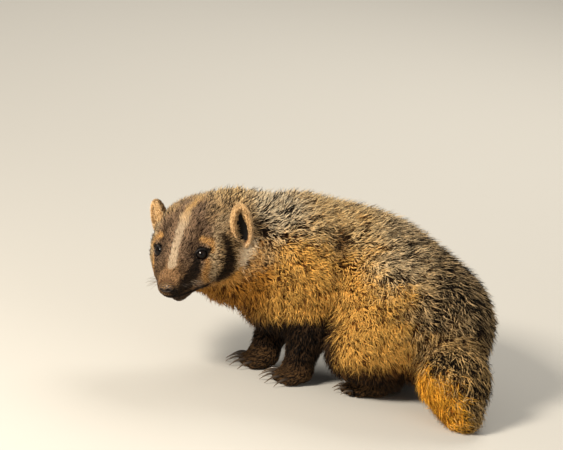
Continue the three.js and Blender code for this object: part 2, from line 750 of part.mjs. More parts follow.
// The space that the tail takes up.
const TAIL_REACH = { centre: [163, -106, 36], radii: [46, 57, 52] };
const tailReach = (extra) => egg(TAIL_REACH.centre, TAIL_REACH.radii.map((r) => r + extra), heading(0), 18);
const tailInside = (p) =>
  Math.hypot(...less(p, TAIL_REACH.centre).map((apart, i) => apart / TAIL_REACH.radii[i]));

// The body, without the legs.
const UNDERSIDE = -0.62; // no long locks where the coat faces further down than this
const bodyShapes = [...torsoShapes];
for (const side of Object.keys(SIDES)) bodyShapes.push(...forelegShapes(side).slice(0, 1), ...thighShapes(side));
const clearOfLegs = (p) =>
  Object.keys(SIDES).every((side) => {
    const { elbow } = FORELEGS[side];
    const aside = Math.hypot(p[0] - elbow[0], p[1] - elbow[1]);
    return hindlegInside(side, p) > 1.05 && (aside > 38 || p[2] > elbow[2] + 22);
  });
let neck = coated([...headShapes, ...torsoShapes], {
  step: 19,
  seed: 3,
  lie: bodyLie,
  coreDepth: coreBehind(NECK_CUT),
  wanted: (p, normal) =>
    aheadOf(NECK_CUT, p) < -3 && aheadOf(SHOULDER_CUT, p) > 12 && normal[2] > UNDERSIDE && clearOfLegs(p),
});
let chest = coated(bodyShapes, {
  step: 20,
  seed: 5,
  lie: bodyLie,
  coreDepth: coreBehind(SHOULDER_CUT),
  wanted: (p, normal) =>
    aheadOf(SHOULDER_CUT, p) < -3 && aheadOf(LOIN_CUT, p) > 12 && normal[2] > UNDERSIDE && clearOfLegs(p),
});
let rump = coated(bodyShapes, {
  step: 20,
  seed: 7,
  lie: bodyLie,
  coreDepth: coreBehind(LOIN_CUT),
  wanted: (p, normal) =>
    aheadOf(LOIN_CUT, p) < -3 && p[2] > 40 && normal[2] > UNDERSIDE && clearOfLegs(p) && tailInside(p) > 1.1,
});
neck = behind(ahead(neck, SHOULDER_CUT), NECK_CUT);
chest = ahead(behind(chest, SHOULDER_CUT), LOIN_CUT);
rump = behind(rump, LOIN_CUT);
for (const side of Object.keys(SIDES)) {
  chest = chest.subtract(forelegReach(side, 0)).subtract(hindlegReach(side, 0));
  rump = rump.subtract(hindlegReach(side, 0));
  neck = neck.subtract(forelegReach(side, 0));
}
node("neck", largest(neck), 0x8f7448);
node("chest", largest(chest), 0x9c7a48);
node("hindquarters", largest(ahead(rump.subtract(tailReach(0)), ANKLE_CUT)), 0x94703f);

// The tail hangs from the rump and is laid on the floor.
const TAIL_POINTS = [[148, -60, 80], [160, -100, 44], [174, -134, 16]];
const tailShapes = [
  limb(TAIL_POINTS[0], TAIL_POINTS[1], 30, 36, 24),
  limb(TAIL_POINTS[1], TAIL_POINTS[2], 36, 22, 18),
];
const tailLie = () => less(TAIL_POINTS[2], TAIL_POINTS[0]);
const tail = coated(tailShapes, {
  step: 13,
  seed: 13,
  scale: 0.72,
  lie: tailLie,
  wanted: (p, normal) => tailInside(p) < 0.9 && normal[2] > -0.7 && p[1] > -140 && p[2] > 16,
});
node("tail", largest(ahead(tail.intersect(tailReach(-GAP)), FLOOR_CUT)), 0xc08238);

// The middle of the model's outline on the floor is the origin.
const bounds = new THREE.Box3().setFromObject(badger);
const centre = bounds.getCenter(new THREE.Vector3());
for (const { geometry } of badger.children) geometry.translate(-centre.x, -centre.y, 0);

export default badger;
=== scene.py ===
"""A young American badger as a life-size museum model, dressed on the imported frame.

The animal's form is given as rounded masses in millimetres, as in the part's own source. One
skin is settled inside them by the depth of the coat, and the coat is laid over it as tufts.
"""

import sys
import logging
import math
from dataclasses import dataclass, field
from enum import Enum

import bmesh
import bpy
import numpy as np
from mathutils import Matrix, Vector


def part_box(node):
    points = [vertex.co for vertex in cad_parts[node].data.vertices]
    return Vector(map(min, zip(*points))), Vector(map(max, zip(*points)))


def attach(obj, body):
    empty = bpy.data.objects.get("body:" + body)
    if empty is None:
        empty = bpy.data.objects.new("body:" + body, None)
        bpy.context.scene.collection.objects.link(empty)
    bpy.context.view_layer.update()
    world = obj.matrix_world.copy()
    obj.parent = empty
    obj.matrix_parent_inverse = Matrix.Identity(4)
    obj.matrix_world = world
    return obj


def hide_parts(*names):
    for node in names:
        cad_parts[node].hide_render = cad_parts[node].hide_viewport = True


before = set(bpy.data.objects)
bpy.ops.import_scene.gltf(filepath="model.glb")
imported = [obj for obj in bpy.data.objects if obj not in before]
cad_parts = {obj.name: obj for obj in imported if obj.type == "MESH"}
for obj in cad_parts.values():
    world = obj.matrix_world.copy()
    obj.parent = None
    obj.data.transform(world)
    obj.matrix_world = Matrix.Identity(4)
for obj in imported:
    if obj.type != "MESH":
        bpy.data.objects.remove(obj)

LOG = logging.getLogger("badger")
MM = 0.001
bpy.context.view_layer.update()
Array = np.ndarray


def vec(*values: float) -> Array:
    """An array of numbers."""
    return np.array(values, float)


def unit(vectors: Array) -> Array:
    """Vectors brought to length one."""
    size = np.linalg.norm(vectors, axis=-1, keepdims=True)
    return vectors / np.maximum(size, 1e-9)


def dots(a: Array, b: Array) -> Array:
    """Row by row dot products."""
    return (a * b).sum(-1)


def smooth(low: float, high: float, values: Array) -> Array:
    """A soft step from 0 at low to 1 at high.

    Args:
        low: where the step begins.
        high: where it ends.
        values: the values to judge.

    Returns:
        One share for each value.
    """
    t = np.clip((values - low) / (high - low), 0, 1)
    return t * t * (3 - 2 * t)


def mix(a: Array, b: Array, share: Array) -> Array:
    """A blend of two rows of values, with one share for each row."""
    return a + (b - a) * np.asarray(share)[..., None]


def rgb(red: int, green: int, blue: int) -> Array:
    """A linear colour from its screen values.

    Args:
        red: 0 to 255.
        green: 0 to 255.
        blue: 0 to 255.

    Returns:
        Three linear values.
    """
    screen = np.array([red, green, blue]) / 255
    return np.where(screen <= 0.04045, screen / 12.92, ((screen + 0.055) / 1.055) ** 2.4)


def heading(yaw: float) -> Array:
    """Forward, left and up for a heading towards -X, turned by a yaw in degrees."""
    c, s = math.cos(math.radians(yaw)), math.sin(math.radians(yaw))
    return np.array([[-c, s, 0], [-s, -c, 0], [0, 0, 1]])


def trail(points: Array, path: tuple) -> Array:
    """Distance from points to a path of x, y, z, radius, less the radius there.

    Args:
        points: rows of x, y, z in mm.
        path: nodes of x, y, z, radius.

    Returns:
        One distance for each point, below zero inside the radius.
    """
    best = np.full(len(points), 1e3)
    nodes = np.array(path, float)
    for a, b in zip(nodes[:-1], nodes[1:]):
        along = b[:3] - a[:3]
        t = np.clip((points - a[:3]) @ along / (along @ along), 0, 1)
        gap = np.linalg.norm(points - a[:3] - t[:, None] * along, axis=1)
        best = np.minimum(best, gap - (a[3] + (b[3] - a[3]) * t))
    return best


# ---------------------------------------------------------------- rounded masses


@dataclass(frozen=True)
class Ball:
    """An ellipsoid mass on its own axes."""

    centre: Array
    radii: Array
    axes: Array
    soft: float = 20

    def distance(self, points: Array) -> Array:
        """Signed distance to the surface.

        Args:
            points: rows of x, y, z in mm.

        Returns:
            One distance for each point.
        """
        q = (points - self.centre) @ self.axes.T / self.radii
        near = np.maximum(np.linalg.norm(q, axis=1), 1e-6)
        return near * (near - 1) / np.linalg.norm(q / self.radii, axis=1)

    def reach(self) -> tuple[Array, float]:
        """A ball that holds the mass: its centre and radius."""
        return self.centre, float(max(self.radii))


@dataclass(frozen=True)
class Limb:
    """A round bar that tapers between two ball ends."""

    start: Array
    end: Array
    start_radius: float
    end_radius: float
    soft: float = 12

    def distance(self, points: Array) -> Array:
        """Signed distance to the surface.

        Args:
            points: rows of x, y, z in mm.

        Returns:
            One distance for each point.
        """
        along = self.end - self.start
        t = np.clip((points - self.start) @ along / (along @ along), 0, 1)
        axis = self.start + t[:, None] * along
        return np.linalg.norm(points - axis, axis=1) - self.radius(t)

    def radius(self, t: float | Array) -> float | Array:
        """The radius at a share of the way from start to end."""
        return self.start_radius + (self.end_radius - self.start_radius) * t

    def reach(self) -> tuple[Array, float]:
        """A ball that holds the mass: its centre and radius."""
        half = np.linalg.norm(self.end - self.start) / 2
        return (self.start + self.end) / 2, float(half + max(self.start_radius, self.end_radius))


# how far past a mass its surface is still worked out, and how far a crease reaches from its middle
FAR = 48.0
CREASE_REACH = 120.0


@dataclass(frozen=True)
class Crease:
    """A shallow valley along a path of x, y, z, radius over the surface."""

    path: tuple
    width: float
    depth: float

    def press(self, points: Array) -> Array:
        """How far each point's distance grows.

        Args:
            points: rows of x, y, z in mm.

        Returns:
            The growth at each point, in mm.
        """
        pressed = np.zeros(len(points))
        middle = np.mean(self.path, axis=0)[:3]
        near = np.flatnonzero(((points - middle) ** 2).sum(1) < CREASE_REACH**2)
        if len(near):
            across = trail(points[near], self.path) / self.width
            pressed[near] = self.depth * np.exp(-(across**2))
        return pressed


@dataclass
class Form:
    """Masses blended into one surface, with creases pressed into it."""

    masses: list
    creases: tuple = ()

    def distance(self, points: Array) -> Array:
        """Signed distance to the blended surface.

        Args:
            points: rows of x, y, z in mm.

        Returns:
            One distance for each point, exact near the surface.
        """
        result = np.full(len(points), 200.0)
        for mass in self.masses:
            centre, radius = mass.reach()
            near = np.flatnonzero(((points - centre) ** 2).sum(1) < (radius + FAR) ** 2)
            if not len(near):
                continue
            d = mass.distance(points[near])
            old = result[near]
            h = np.maximum(mass.soft - np.abs(old - d), 0) / mass.soft
            result[near] = np.minimum(old, d) - h * h * mass.soft / 4
        for crease in self.creases:
            result = result + crease.press(points)
        return result

    def level(self, points: Array, step: float = 0.6) -> tuple[Array, Array]:
        """Distance and outward normal at each point.

        Args:
            points: rows of x, y, z in mm.
            step: how far apart the distance is sampled, in mm.

        Returns:
            The distances and the normals.
        """
        corners = np.array([[1, -1, -1], [-1, -1, 1], [-1, 1, -1], [1, 1, 1]], float)
        slope = np.zeros_like(points)
        total = np.zeros(len(points))
        for corner in corners:
            d = self.distance(points + corner * step)
            slope += corner * d[:, None]
            total += d
        return total / 4, unit(slope)

    def settle(self, points: Array, depth: Array, rounds: int = 2) -> Array:
        """Points moved along the normal until they lie at a depth under the surface.

        Args:
            points: rows of x, y, z in mm.
            depth: the wanted depth of each, in mm.
            rounds: how often they are moved.

        Returns:
            The moved points.
        """
        for _ in range(rounds):
            d, normal = self.level(points)
            points = points - normal * np.clip(d + depth, -9, 9)[:, None]
        return points


# ---------------------------------------------------------------- the animal's form

SIDES = {"left": 1, "right": -1}
NAPE = vec(-114, -14, 157)
GULLET = vec(-112, -44, 112)


@dataclass(frozen=True)
class Head:
    """The head's place, its own axes (forward, left, up) and the masses of the skull and jaws."""

    eyes_middle: tuple = (-171, -84, 140.5)
    yaw: float = 20.5
    pitch: float = 25.5
    tilt: float = 12.5
    eye_radius: float = 6.4
    eyes: tuple = ((1, 26), (-1, 23.5))
    cheeks: tuple = ((1, 29), (-1, 26.5))
    ears: tuple = ((1, (-48, 57, 6)), (-1, (-47, 50, 6)))
    ear_radii: tuple = (12.5, 28.5, 9.5)
    ear_leans: tuple = ((1, 9), (-1, -4))

    def axes(self) -> Array:
        """Rows: forward to the nose, to the animal's left, and up.

        Returns:
            A square of three rows.
        """
        y, p, t = (math.radians(a) for a in (self.yaw, self.pitch, self.tilt))
        level = vec(math.cos(y), -math.sin(y), 0)
        forward = vec(-math.sin(y) * math.cos(p), -math.cos(y) * math.cos(p), -math.sin(p))
        left = level * math.cos(t) + np.cross(forward, level) * math.sin(t)
        return np.array([forward, left, np.cross(forward, left)])

    def at(self, f: float, l: float, u: float) -> Array:
        """A point given in the head's own axes."""
        return vec(*self.eyes_middle) + vec(f, l, u) @ self.axes()

    def local(self, points: Array) -> Array:
        """Points in the head's own axes."""
        return (points - vec(*self.eyes_middle)) @ self.axes().T

    def masses(self) -> list:
        """Skull, muzzle, jaws, cheeks and throat.

        Returns:
            The six masses on the middle line, then five for each side.
        """
        at, axes = self.at, self.axes()
        made = [
            Ball(at(-41, 0, -7), vec(45, 45.5, 38.5), axes, 10),
            Ball(at(-14, 0, -7), vec(30, 29.5, 24), axes, 14),
            Limb(at(2, 0, -14), at(36, 0, -20), 23, 14.5, 14),
            Limb(at(-15, 0, -38), at(26, 0, -38), 18, 10, 10),
            Limb(at(-52, -8, -17), NAPE, 38, 40, 20),
            Limb(at(-40, 0, -30), GULLET, 30, 29, 24),
        ]
        for s in SIDES.values():
            made += [
                Ball(at(-26, dict(self.cheeks)[s] * s, -20), vec(34, 26, 31), axes, 14),
                Ball(at(2, 22 * s, -22), vec(22, 14, 17), axes, 12),
                Ball(at(22, 9 * s, -23), vec(18, 12, 13), axes, 12),
                Limb(at(36, 7 * s, -26), at(4, 21 * s, -33), 6, 8, 6),
                Ball(at(-50, 42 * s, -4), vec(11, 11, 16), axes, 9),
            ]
        return made

    def eye_way(self, side: int) -> Array:
        """The way an eye looks."""
        return unit(vec(0.74, 0.6 * side, 0.3) @ self.axes())

    def eye_centre(self, side: int) -> Array:
        """The middle of an eyeball, set so deep that a little more than a quarter stands out.

        Args:
            side: 1 for the left, -1 for the right.

        Returns:
            A point in mm.
        """
        form, way = Form(self.masses()), self.eye_way(side)
        point = self.at(0, dict(self.eyes)[side] * side, 0)
        for _ in range(8):
            point = point - way * (form.distance(point[None])[0] + self.eye_radius * 0.55)
        return point

    def ear_axes(self, side: int) -> Array:
        """Rows: across the ear, up along it, and out of its opening.

        Args:
            side: 1 for the left, -1 for the right.

        Returns:
            A square of three rows.
        """
        opening = unit(vec(0.75, 0.62 * side, 0.1) @ self.axes())
        across = unit(np.cross(self.axes()[2], opening))
        up = np.cross(opening, across)
        lean = math.radians(dict(self.ear_leans)[side] * side)
        c, s = math.cos(lean), math.sin(lean)
        return np.array([across * c - up * s, up * c + across * s, opening])

    def ear_centre(self, side: int) -> Array:
        """The middle of an ear."""
        f, l, u = dict(self.ears)[side]
        return self.at(f, l * side, u)


@dataclass(frozen=True)
class Foreleg:
    """A foreleg from the shoulder down to the middle of its sole."""

    shoulder: tuple
    elbow: tuple
    wrist: tuple
    paw: tuple
    toes: float

    def masses(self) -> list:
        """Upper arm and forearm."""
        shoulder, elbow, wrist = (vec(*p) for p in (self.shoulder, self.elbow, self.wrist))
        return [Limb(shoulder, elbow, 34, 25, 20), Limb(elbow, wrist, 25, 18, 10)]


@dataclass(frozen=True)
class Hindleg:
    """A hind leg from the thigh down to the middle of its sole."""

    thigh: tuple
    knee: tuple
    heel: tuple
    paw: tuple
    toes: float
    yaw: float = 33

    def masses(self) -> list:
        """Thigh and shank.

        Returns:
            The three masses.
        """
        thigh, knee, heel = (vec(*p) for p in (self.thigh, self.knee, self.heel))
        return [
            Ball(thigh, vec(56, 42, 72), heading(self.yaw), 14),
            Limb(thigh + vec(0, 0, -14), knee, 44, 34, 16),
            Limb(knee, heel, 30, 17, 10),
        ]


@dataclass(frozen=True)
class Paw:
    """The size of a paw with five toes, in mm."""

    length: float
    width: float
    height: float
    claw: float

    def at(self, leg: Foreleg | Hindleg, f: float, l: float, u: float) -> Array:
        """A point in the paw's own axes, from the middle of its sole."""
        axes = heading(leg.toes)
        return vec(*leg.paw, u) + axes[0] * f + axes[1] * l

    def masses(self, leg: Foreleg | Hindleg) -> list:
        """The pad of the foot and its toes.

        Args:
            leg: the leg that ends in the paw.

        Returns:
            The masses.
        """
        radius = self.width * 0.17
        middle = self.at(leg, -self.length * 0.12, 0, self.height * 0.55)
        sizes = vec(self.length * 0.42, self.width * 0.46, self.height * 0.6)
        made = [Ball(middle, sizes, heading(leg.toes), 8)]
        for toe in TOES:
            out = toe * self.width * 0.21
            reach = self.length * (0.36 - 0.045 * toe * toe)
            root, tip = self.at(leg, 0, out * 0.8, radius), self.at(leg, reach, out, radius - 1.2)
            made.append(Limb(root, tip, radius, radius * 0.85, 5))
        return made


TOES = (-2, -1, 0, 1, 2)
HEAD = Head()
FORELEGS = {
    "left": Foreleg((-30, -38, 98), (-13, -48, 62), (-18, -54, 26), (-25, -60), -18),
    "right": Foreleg((-62, 34, 98), (-46, 14, 60), (-58, -6, 26), (-66, -18), -12),
}
HINDLEGS = {
    "left": Hindleg((64, -60, 92), (43, -78, 55), (88, -64, 24), (58, -67), 3),
    "right": Hindleg((105, 9, 88), (103, 35, 62), (129, 20, 24), (107, 33), 26),
}
FOREPAW = Paw(46, 40, 24, 19)
HINDPAW = Paw(58, 34, 24, 11)
TAIL = (vec(148, -60, 80), vec(160, -100, 44), vec(174, -134, 16))
SHOULDER_FOLD = ((0, -44, 178, 0), (3, -64, 160, 0), (5, -76, 134, 0), (4, -78, 106, 0), (2, -74, 78, 0))
THIGH_FOLD = ((30, -74, 150, 0), (62, -98, 158, 0), (100, -110, 142, 0))
CREASES = (Crease(SHOULDER_FOLD, 7, 8.5), Crease(THIGH_FOLD, 12, 3))


class Part(Enum):
    """The parts of the body that a coat can belong to."""

    HEAD = "head"
    NECK = "neck"
    TORSO = "torso"
    RUMP = "rump"
    FORELEG = "foreleg"
    THIGH = "thigh"
    SHANK = "shank"
    PAW = "paw"
    TAIL = "tail"


# how far, in mm, two parts' coats run into each other
PART_BLEND = 5.0


@dataclass
class Anatomy:
    """All the masses of the animal, by part, and what follows from them at a point."""

    parts: dict = field(default_factory=dict)
    form: Form = None

    def __post_init__(self) -> None:
        """Collects the masses."""
        rib, loin, hip, shoulder = (heading(a) for a in (-6, 14, 33, -28))
        head = HEAD.masses()
        torso = [
            Ball(vec(4, 14, 119), vec(72, 74, 79), rib),
            Ball(vec(56, 2, 116), vec(72, 76, 78), loin, 30),
            Ball(vec(-42, 4, 124), vec(60, 68, 71), shoulder, 30),
            Ball(vec(-56, -22, 92), vec(38, 46, 46), shoulder, 24),
        ]
        rump = [
            Ball(vec(102, -26, 96), vec(75, 75, 75), hip, 30),
            Ball(vec(140, -34, 80), vec(54, 62, 62), hip, 30),
        ]
        neck = [
            Limb(vec(-62, -2, 140), NAPE, 62, 40, 30),
            Limb(vec(-60, -18, 104), GULLET, 40, 29, 30),
        ]
        parts = {
            Part.HEAD: head[:4] + head[6:],
            Part.NECK: head[4:6] + neck,
            Part.TORSO: torso,
            Part.RUMP: rump,
            Part.FORELEG: [m for leg in FORELEGS.values() for m in leg.masses()],
            Part.THIGH: [m for leg in HINDLEGS.values() for m in leg.masses()[:2]],
            Part.SHANK: [leg.masses()[2] for leg in HINDLEGS.values()],
            Part.PAW: [m for leg in FORELEGS.values() for m in FOREPAW.masses(leg)]
            + [m for leg in HINDLEGS.values() for m in HINDPAW.masses(leg)],
            Part.TAIL: [Limb(TAIL[0], TAIL[1], 30, 36, 24), Limb(TAIL[1], TAIL[2], 36, 22, 18)],
        }
        self.parts = {part: Form(masses) for part, masses in parts.items()}
        order = head + torso[:2] + rump + torso[2:] + neck
        for part in (Part.FORELEG, Part.THIGH, Part.SHANK, Part.PAW, Part.TAIL):
            order += parts[part]
        self.form = Form(order, CREASES)

    def shares(self, points: Array) -> dict:
        """How much each part owns a point, as soft shares that add up to one.

        Args:
            points: rows of x, y, z in mm.

        Returns:
            One share for each point, by part.
        """
        owned = {}
        for part, form in self.parts.items():
            owned[part] = np.exp(-np.clip(form.distance(points), -40, 120) / PART_BLEND)
        total = sum(owned.values())
        return {part: share / total for part, share in owned.items()}


ANATOMY = Anatomy()


def cad_centre() -> Array:
    """The design point, in mm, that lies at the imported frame's origin, found from the near eye.

    Returns:
        A point in mm.
    """
    low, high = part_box("eye_left")
    x, y, _ = (np.array(low) + np.array(high)) / 2 / MM
    eye = HEAD.eye_centre(1)
    return vec(eye[0] - x, eye[1] - y, 0)


CENTRE = cad_centre()


# ---------------------------------------------------------------- how the coat lies, and how deep it is

SPINE_X = (-130, -90, -42, 4, 58, 112, 165)
SPINE_YAW = (-62, -45, -28, -6, 14, 33, 48)
NOSE_TIP = HEAD.at(52, 0, -12)
DEPTHS = {
    Part.NECK: 9.5,
    Part.TORSO: 11,
    Part.RUMP: 11.5,
    Part.FORELEG: 5,
    Part.THIGH: 10.5,
    Part.SHANK: 6,
    Part.PAW: 1.6,
    Part.TAIL: 11,
}
LENGTHS = {
    Part.NECK: 13,
    Part.TORSO: 14.5,
    Part.RUMP: 16.5,
    Part.FORELEG: 9.5,
    Part.THIGH: 14,
    Part.SHANK: 10,
    Part.PAW: 4.4,
    Part.TAIL: 23,
}
WIDTHS = {
    Part.NECK: 1.25,
    Part.TORSO: 1.4,
    Part.RUMP: 1.45,
    Part.FORELEG: 1.1,
    Part.THIGH: 1.4,
    Part.SHANK: 1.0,
    Part.PAW: 0.75,
    Part.TAIL: 1.5,
}
HEAD_F = (-75, -45, -15, 8, 30, 50)
HEAD_DEPTH = (8.5, 5.2, 3.4, 2.2, 1.5, 1.0)
HEAD_LENGTH = (12, 8, 6, 4.5, 3.2, 2.5)
HEAD_WIDTH = (1.0, 0.85, 0.75, 0.64, 0.54, 0.48)


def by_part(shares: dict, table: dict, head_values: Array) -> Array:
    """A size at each point, from the size each part has and the head's own sizes."""
    return sum(shares[part] * size for part, size in table.items()) + shares[Part.HEAD] * head_values


def eye_gap(points: Array) -> Array:
    """The distance from each point to the middle of the nearer eye."""
    return np.min([np.linalg.norm(points - HEAD.eye_centre(s), axis=1) for s in SIDES.values()], axis=0)


def eye_gap_local(local: Array) -> Array:
    """The distance to the nearer eye, for points in the head's axes."""
    return eye_gap(HEAD.at(0, 0, 0) + local @ HEAD.axes())


def coat_depth(points: Array, shares: dict) -> Array:
    """How deep the coat is over the skin.

    Args:
        points: rows of x, y, z in mm.
        shares: how much each part owns each point.

    Returns:
        One depth for each point, in mm.
    """
    f = HEAD.local(points)[:, 0]
    depth = by_part(shares, DEPTHS, np.interp(f, HEAD_F, HEAD_DEPTH))
    return depth * (0.25 + 0.75 * smooth(7, 15, eye_gap(points)))


def mouth_line(local: Array) -> Array:
    """Height above the line of the mouth, for points in the head's axes; large away from the lips.

    Args:
        local: points in the head's axes.

    Returns:
        One height for each point, in mm.
    """
    slope = math.radians(14)
    height = (local[:, 2] + 31) * math.cos(slope) - (local[:, 0] - 28) * math.sin(slope)
    return height + 40 * (1 - smooth(6, 12, local[:, 0]))


def lie_of_coat(points: Array, normals: Array, shares: dict) -> Array:
    """The way the coat lies at each point, along the surface.

    Args:
        points: rows of x, y, z in mm.
        normals: outward normals there.
        shares: how much each part owns each point.

    Returns:
        One way for each point, of length one.
    """
    local = HEAD.local(points)
    from_nose = unit(points - NOSE_TIP)
    head = from_nose * 0.8 - HEAD.axes()[0] * 0.5 - HEAD.axes()[2] * (0.012 * np.abs(local[:, 1]))[:, None]
    yaw = np.radians(np.interp(points[:, 0], SPINE_X, SPINE_YAW))
    droop = 0.12 + 0.85 * np.clip(1 - normals[:, 2], 0, 1)
    body = np.stack([np.cos(yaw), -np.sin(yaw), -droop], -1)
    hip = heading(33)[0]
    thigh = -hip + np.stack([0 * droop, 0 * droop, -1.1 + 0.8 * np.clip(normals[:, 2], 0, 1)], -1)
    legs = list(FORELEGS.values()) + list(HINDLEGS.values())
    gaps = np.array([np.hypot(points[:, 0] - leg.paw[0], points[:, 1] - leg.paw[1]) for leg in legs])
    toes = np.array([heading(leg.toes)[0] for leg in legs])[gaps.argmin(0)] + vec(0, 0, -0.35)
    down = np.broadcast_to(vec(0.18, 0, -1), points.shape)
    ways = {
        Part.HEAD: unit(head),
        Part.NECK: unit(body),
        Part.TORSO: unit(body),
        Part.RUMP: unit(body),
        Part.FORELEG: down,
        Part.THIGH: unit(thigh),
        Part.SHANK: down,
        Part.PAW: unit(toes),
        Part.TAIL: np.broadcast_to(unit(TAIL[2] - TAIL[0]), points.shape),
    }
    way = sum(shares[part][:, None] * w for part, w in ways.items())
    return unit(way - normals * dots(way, normals)[:, None])


# ---------------------------------------------------------------- markings and painted shade


def hashed(cells: Array, salt: float) -> Array:
    """Even draws from 0 to 1 that belong to whole-number cells."""
    return np.modf(np.abs(np.sin(cells @ vec(12.9898, 78.233, 37.719) + salt * 4.137) * 43758.5453))[0]


def waves(points: Array, scale: float, seed: int) -> Array:
    """A smooth wandering value from about -1 to 1, with a given scale in mm.

    Args:
        points: rows of x, y, z in mm.
        scale: the length of a wave, in mm.
        seed: which set of waves.

    Returns:
        One value for each point.
    """
    draw = np.random.default_rng(seed)
    total = np.zeros(len(points))
    for _ in range(7):
        way = unit(draw.normal(size=3)) * 2 * math.pi / (scale * draw.uniform(0.7, 1.5))
        total += np.sin(points @ way + draw.uniform(0, 6.3))
    return total / 3


@dataclass(frozen=True)
class Hair:
    """The colours of one kind of coat: root, shaft and tip of its pale hairs, and its dark hairs.

    The last value is the share of dark hairs.
    """

    root: tuple
    shaft: tuple
    tip: tuple
    shade: tuple
    dusk: float

    def rows(self) -> Array:
        """The four colours, linear, and the share of dark hairs.

        Returns:
            Five rows of three values.
        """
        colours = [rgb(*c) for c in (self.root, self.shaft, self.tip, self.shade)]
        return np.array([*colours, np.full(3, self.dusk)])


GOLD = Hair((112, 66, 20), (210, 142, 52), (254, 206, 114), (80, 46, 17), 0.35)
BACK = Hair((100, 70, 38), (182, 140, 82), (250, 222, 168), (52, 35, 20), 0.44)
GRIZZLE = Hair((86, 67, 45), (168, 137, 100), (250, 232, 196), (24, 18, 13), 0.46)
# grizzled rump hair, darkened beyond its own colour as painted shade on the side away from the light
RUMP = Hair((48, 33, 20), (102, 73, 44), (250, 216, 162), (15, 11, 8), 0.62)
# the throat's orange-brown hair, darkened as painted shade under the head
THROAT = Hair((92, 52, 9), (146, 88, 24), (200, 144, 64), (76, 44, 11), 0.36)
# dark hair painted as shade: on the underside, low down near the floor and along the shoulder fold
SHADE_HAIR = Hair((40, 25, 12), (66, 42, 20), (136, 96, 52), (26, 17, 10), 0.5)
LEG = Hair((22, 16, 12), (38, 27, 19), (88, 66, 46), (14, 10, 8), 0.6)
FOOT = Hair((36, 25, 15), (60, 42, 25), (112, 84, 54), (24, 17, 11), 0.5)
TAIL_HAIR = Hair((148, 82, 10), (228, 146, 24), (250, 192, 74), (132, 78, 14), 0.3)
TAIL_EDGE = Hair((70, 44, 18), (116, 80, 38), (246, 208, 144), (22, 15, 9), 0.58)
MASK = Hair((54, 39, 31), (94, 70, 54), (190, 157, 124), (36, 26, 20), 0.46)
MASK_DARK = Hair((30, 22, 16), (50, 36, 27), (104, 80, 60), (20, 14, 11), 0.55)
CROWN = Hair((78, 56, 34), (148, 112, 72), (240, 204, 150), (36, 26, 17), 0.5)
MUZZLE = Hair((98, 71, 46), (148, 111, 74), (198, 158, 114), (74, 52, 34), 0.36)
BADGE = Hair((16, 12, 8), (32, 23, 16), (70, 52, 36), (12, 9, 6), 0.5)
BLACK = Hair((10, 8, 6), (16, 12, 9), (38, 28, 20), (8, 6, 5), 0.6)
STRIPE = Hair((152, 132, 106), (192, 170, 142), (214, 193, 165), (146, 126, 101), 0.25)
STRIPE_TOP = Hair((176, 128, 66), (214, 165, 95), (234, 194, 130), (146, 100, 50), 0.25)
GREY_CHEEK = Hair((118, 92, 60), (174, 146, 106), (224, 200, 160), (80, 60, 38), 0.42)
BROW = Hair((140, 92, 42), (190, 137, 73), (226, 181, 116), (112, 72, 32), 0.34)
JAW = Hair((142, 90, 30), (198, 134, 56), (230, 176, 96), (112, 70, 22), 0.24)
CREAM = Hair((222, 184, 132), (248, 220, 176), (255, 238, 208), (200, 162, 112), 0.12)
EAR_RIM = Hair((142, 102, 56), (192, 150, 96), (230, 198, 150), (136, 98, 54), 0.3)
EAR_BACK = Hair((50, 36, 25), (76, 56, 38), (136, 106, 74), (30, 21, 15), 0.5)


def paint(under: Array, hair: Hair, share: Array) -> Array:
    """Hair colours laid over others by a share for each tuft."""
    return under + (hair.rows()[None] - under) * np.clip(share, 0, 1)[:, None, None]


STRIPE_PATH = (
    (26, 0, 0, 5.0),
    (14, 0, 9, 4.5),
    (4, 0, 16, 4.0),
    (-15, 1, 26, 4.8),
    (-34, 0, 32, 4.6),
    (-56, 0, 33, 3.6),
    (-80, 0, 28, 3.2),
)
BROW_PATH = ((-7, 25, 13, 2.6), (-8, 31, 11.5, 3.4), (-8, 36, 8, 3), (-3, 38, 2, 2))
CHEEK_GOLD_PATH = ((7, 35, -5, 2.4), (13, 34, -11, 3.8), (18, 32, -19, 4), (17, 33, -27, 4))
GREY_PATH = (
    (-38, 38, 17, 8),
    (-27, 38, 14, 7),
    (-15, 38, 8, 5.5),
    (-4, 39, 2, 4.6),
    (3, 41, -9, 5.4),
    (8, 38, -18, 5),
    (8, 34, -27, 5),
)
BADGE_PATH = (
    (-23, 44, 9, 3.4),
    (-15, 50, -4, 6.6),
    (-9, 51, -17, 9),
    (-2, 47, -27, 8.4),
    (4, 40, -31, 4.6),
)
WHITE_PATH = ((-48, 61, -16, 5), (-41, 60, -18, 8), (-33, 59, -21, 9), (-25, 58, -26, 7))
GOLD_EDGE_PATH = ((-56, 67, -16, 5), (-48, 67, -26, 6), (-36, 64, -35, 6.5), (-22, 60, -38, 6))
JAW_PATH = ((-26, 61, -37, 6), (-10, 54, -39, 7), (0, 43, -42, 7), (8, 34, -42, 6))
EYE_PATCH_PATH = (
    (9, 23, 3, 4.5),
    (15, 25, -4, 5.4),
    (24, 22, -12, 7.5),
    (33, 17, -18, 9),
    (42, 12, -20, 7),
    (47, 8, -21, 6),
)
EYE_CORNER_PATH = ((2, 31, 3, 3.2), (-3, 35, 3.5, 2.4))
MASK_DARK_PATH = (
    (-20, 18, 24, 3),
    (-11, 20, 19, 5.5),
    (-5, 22, 13, 5.5),
    (5, 18, 10, 6),
    (16, 18, 4, 5.5),
    (28, 13, -4, 5.5),
)
EAR_SHADE_PATH = ((-58, 66, 22, 6), (-70, 68, 6, 11), (-66, 74, -8, 8))
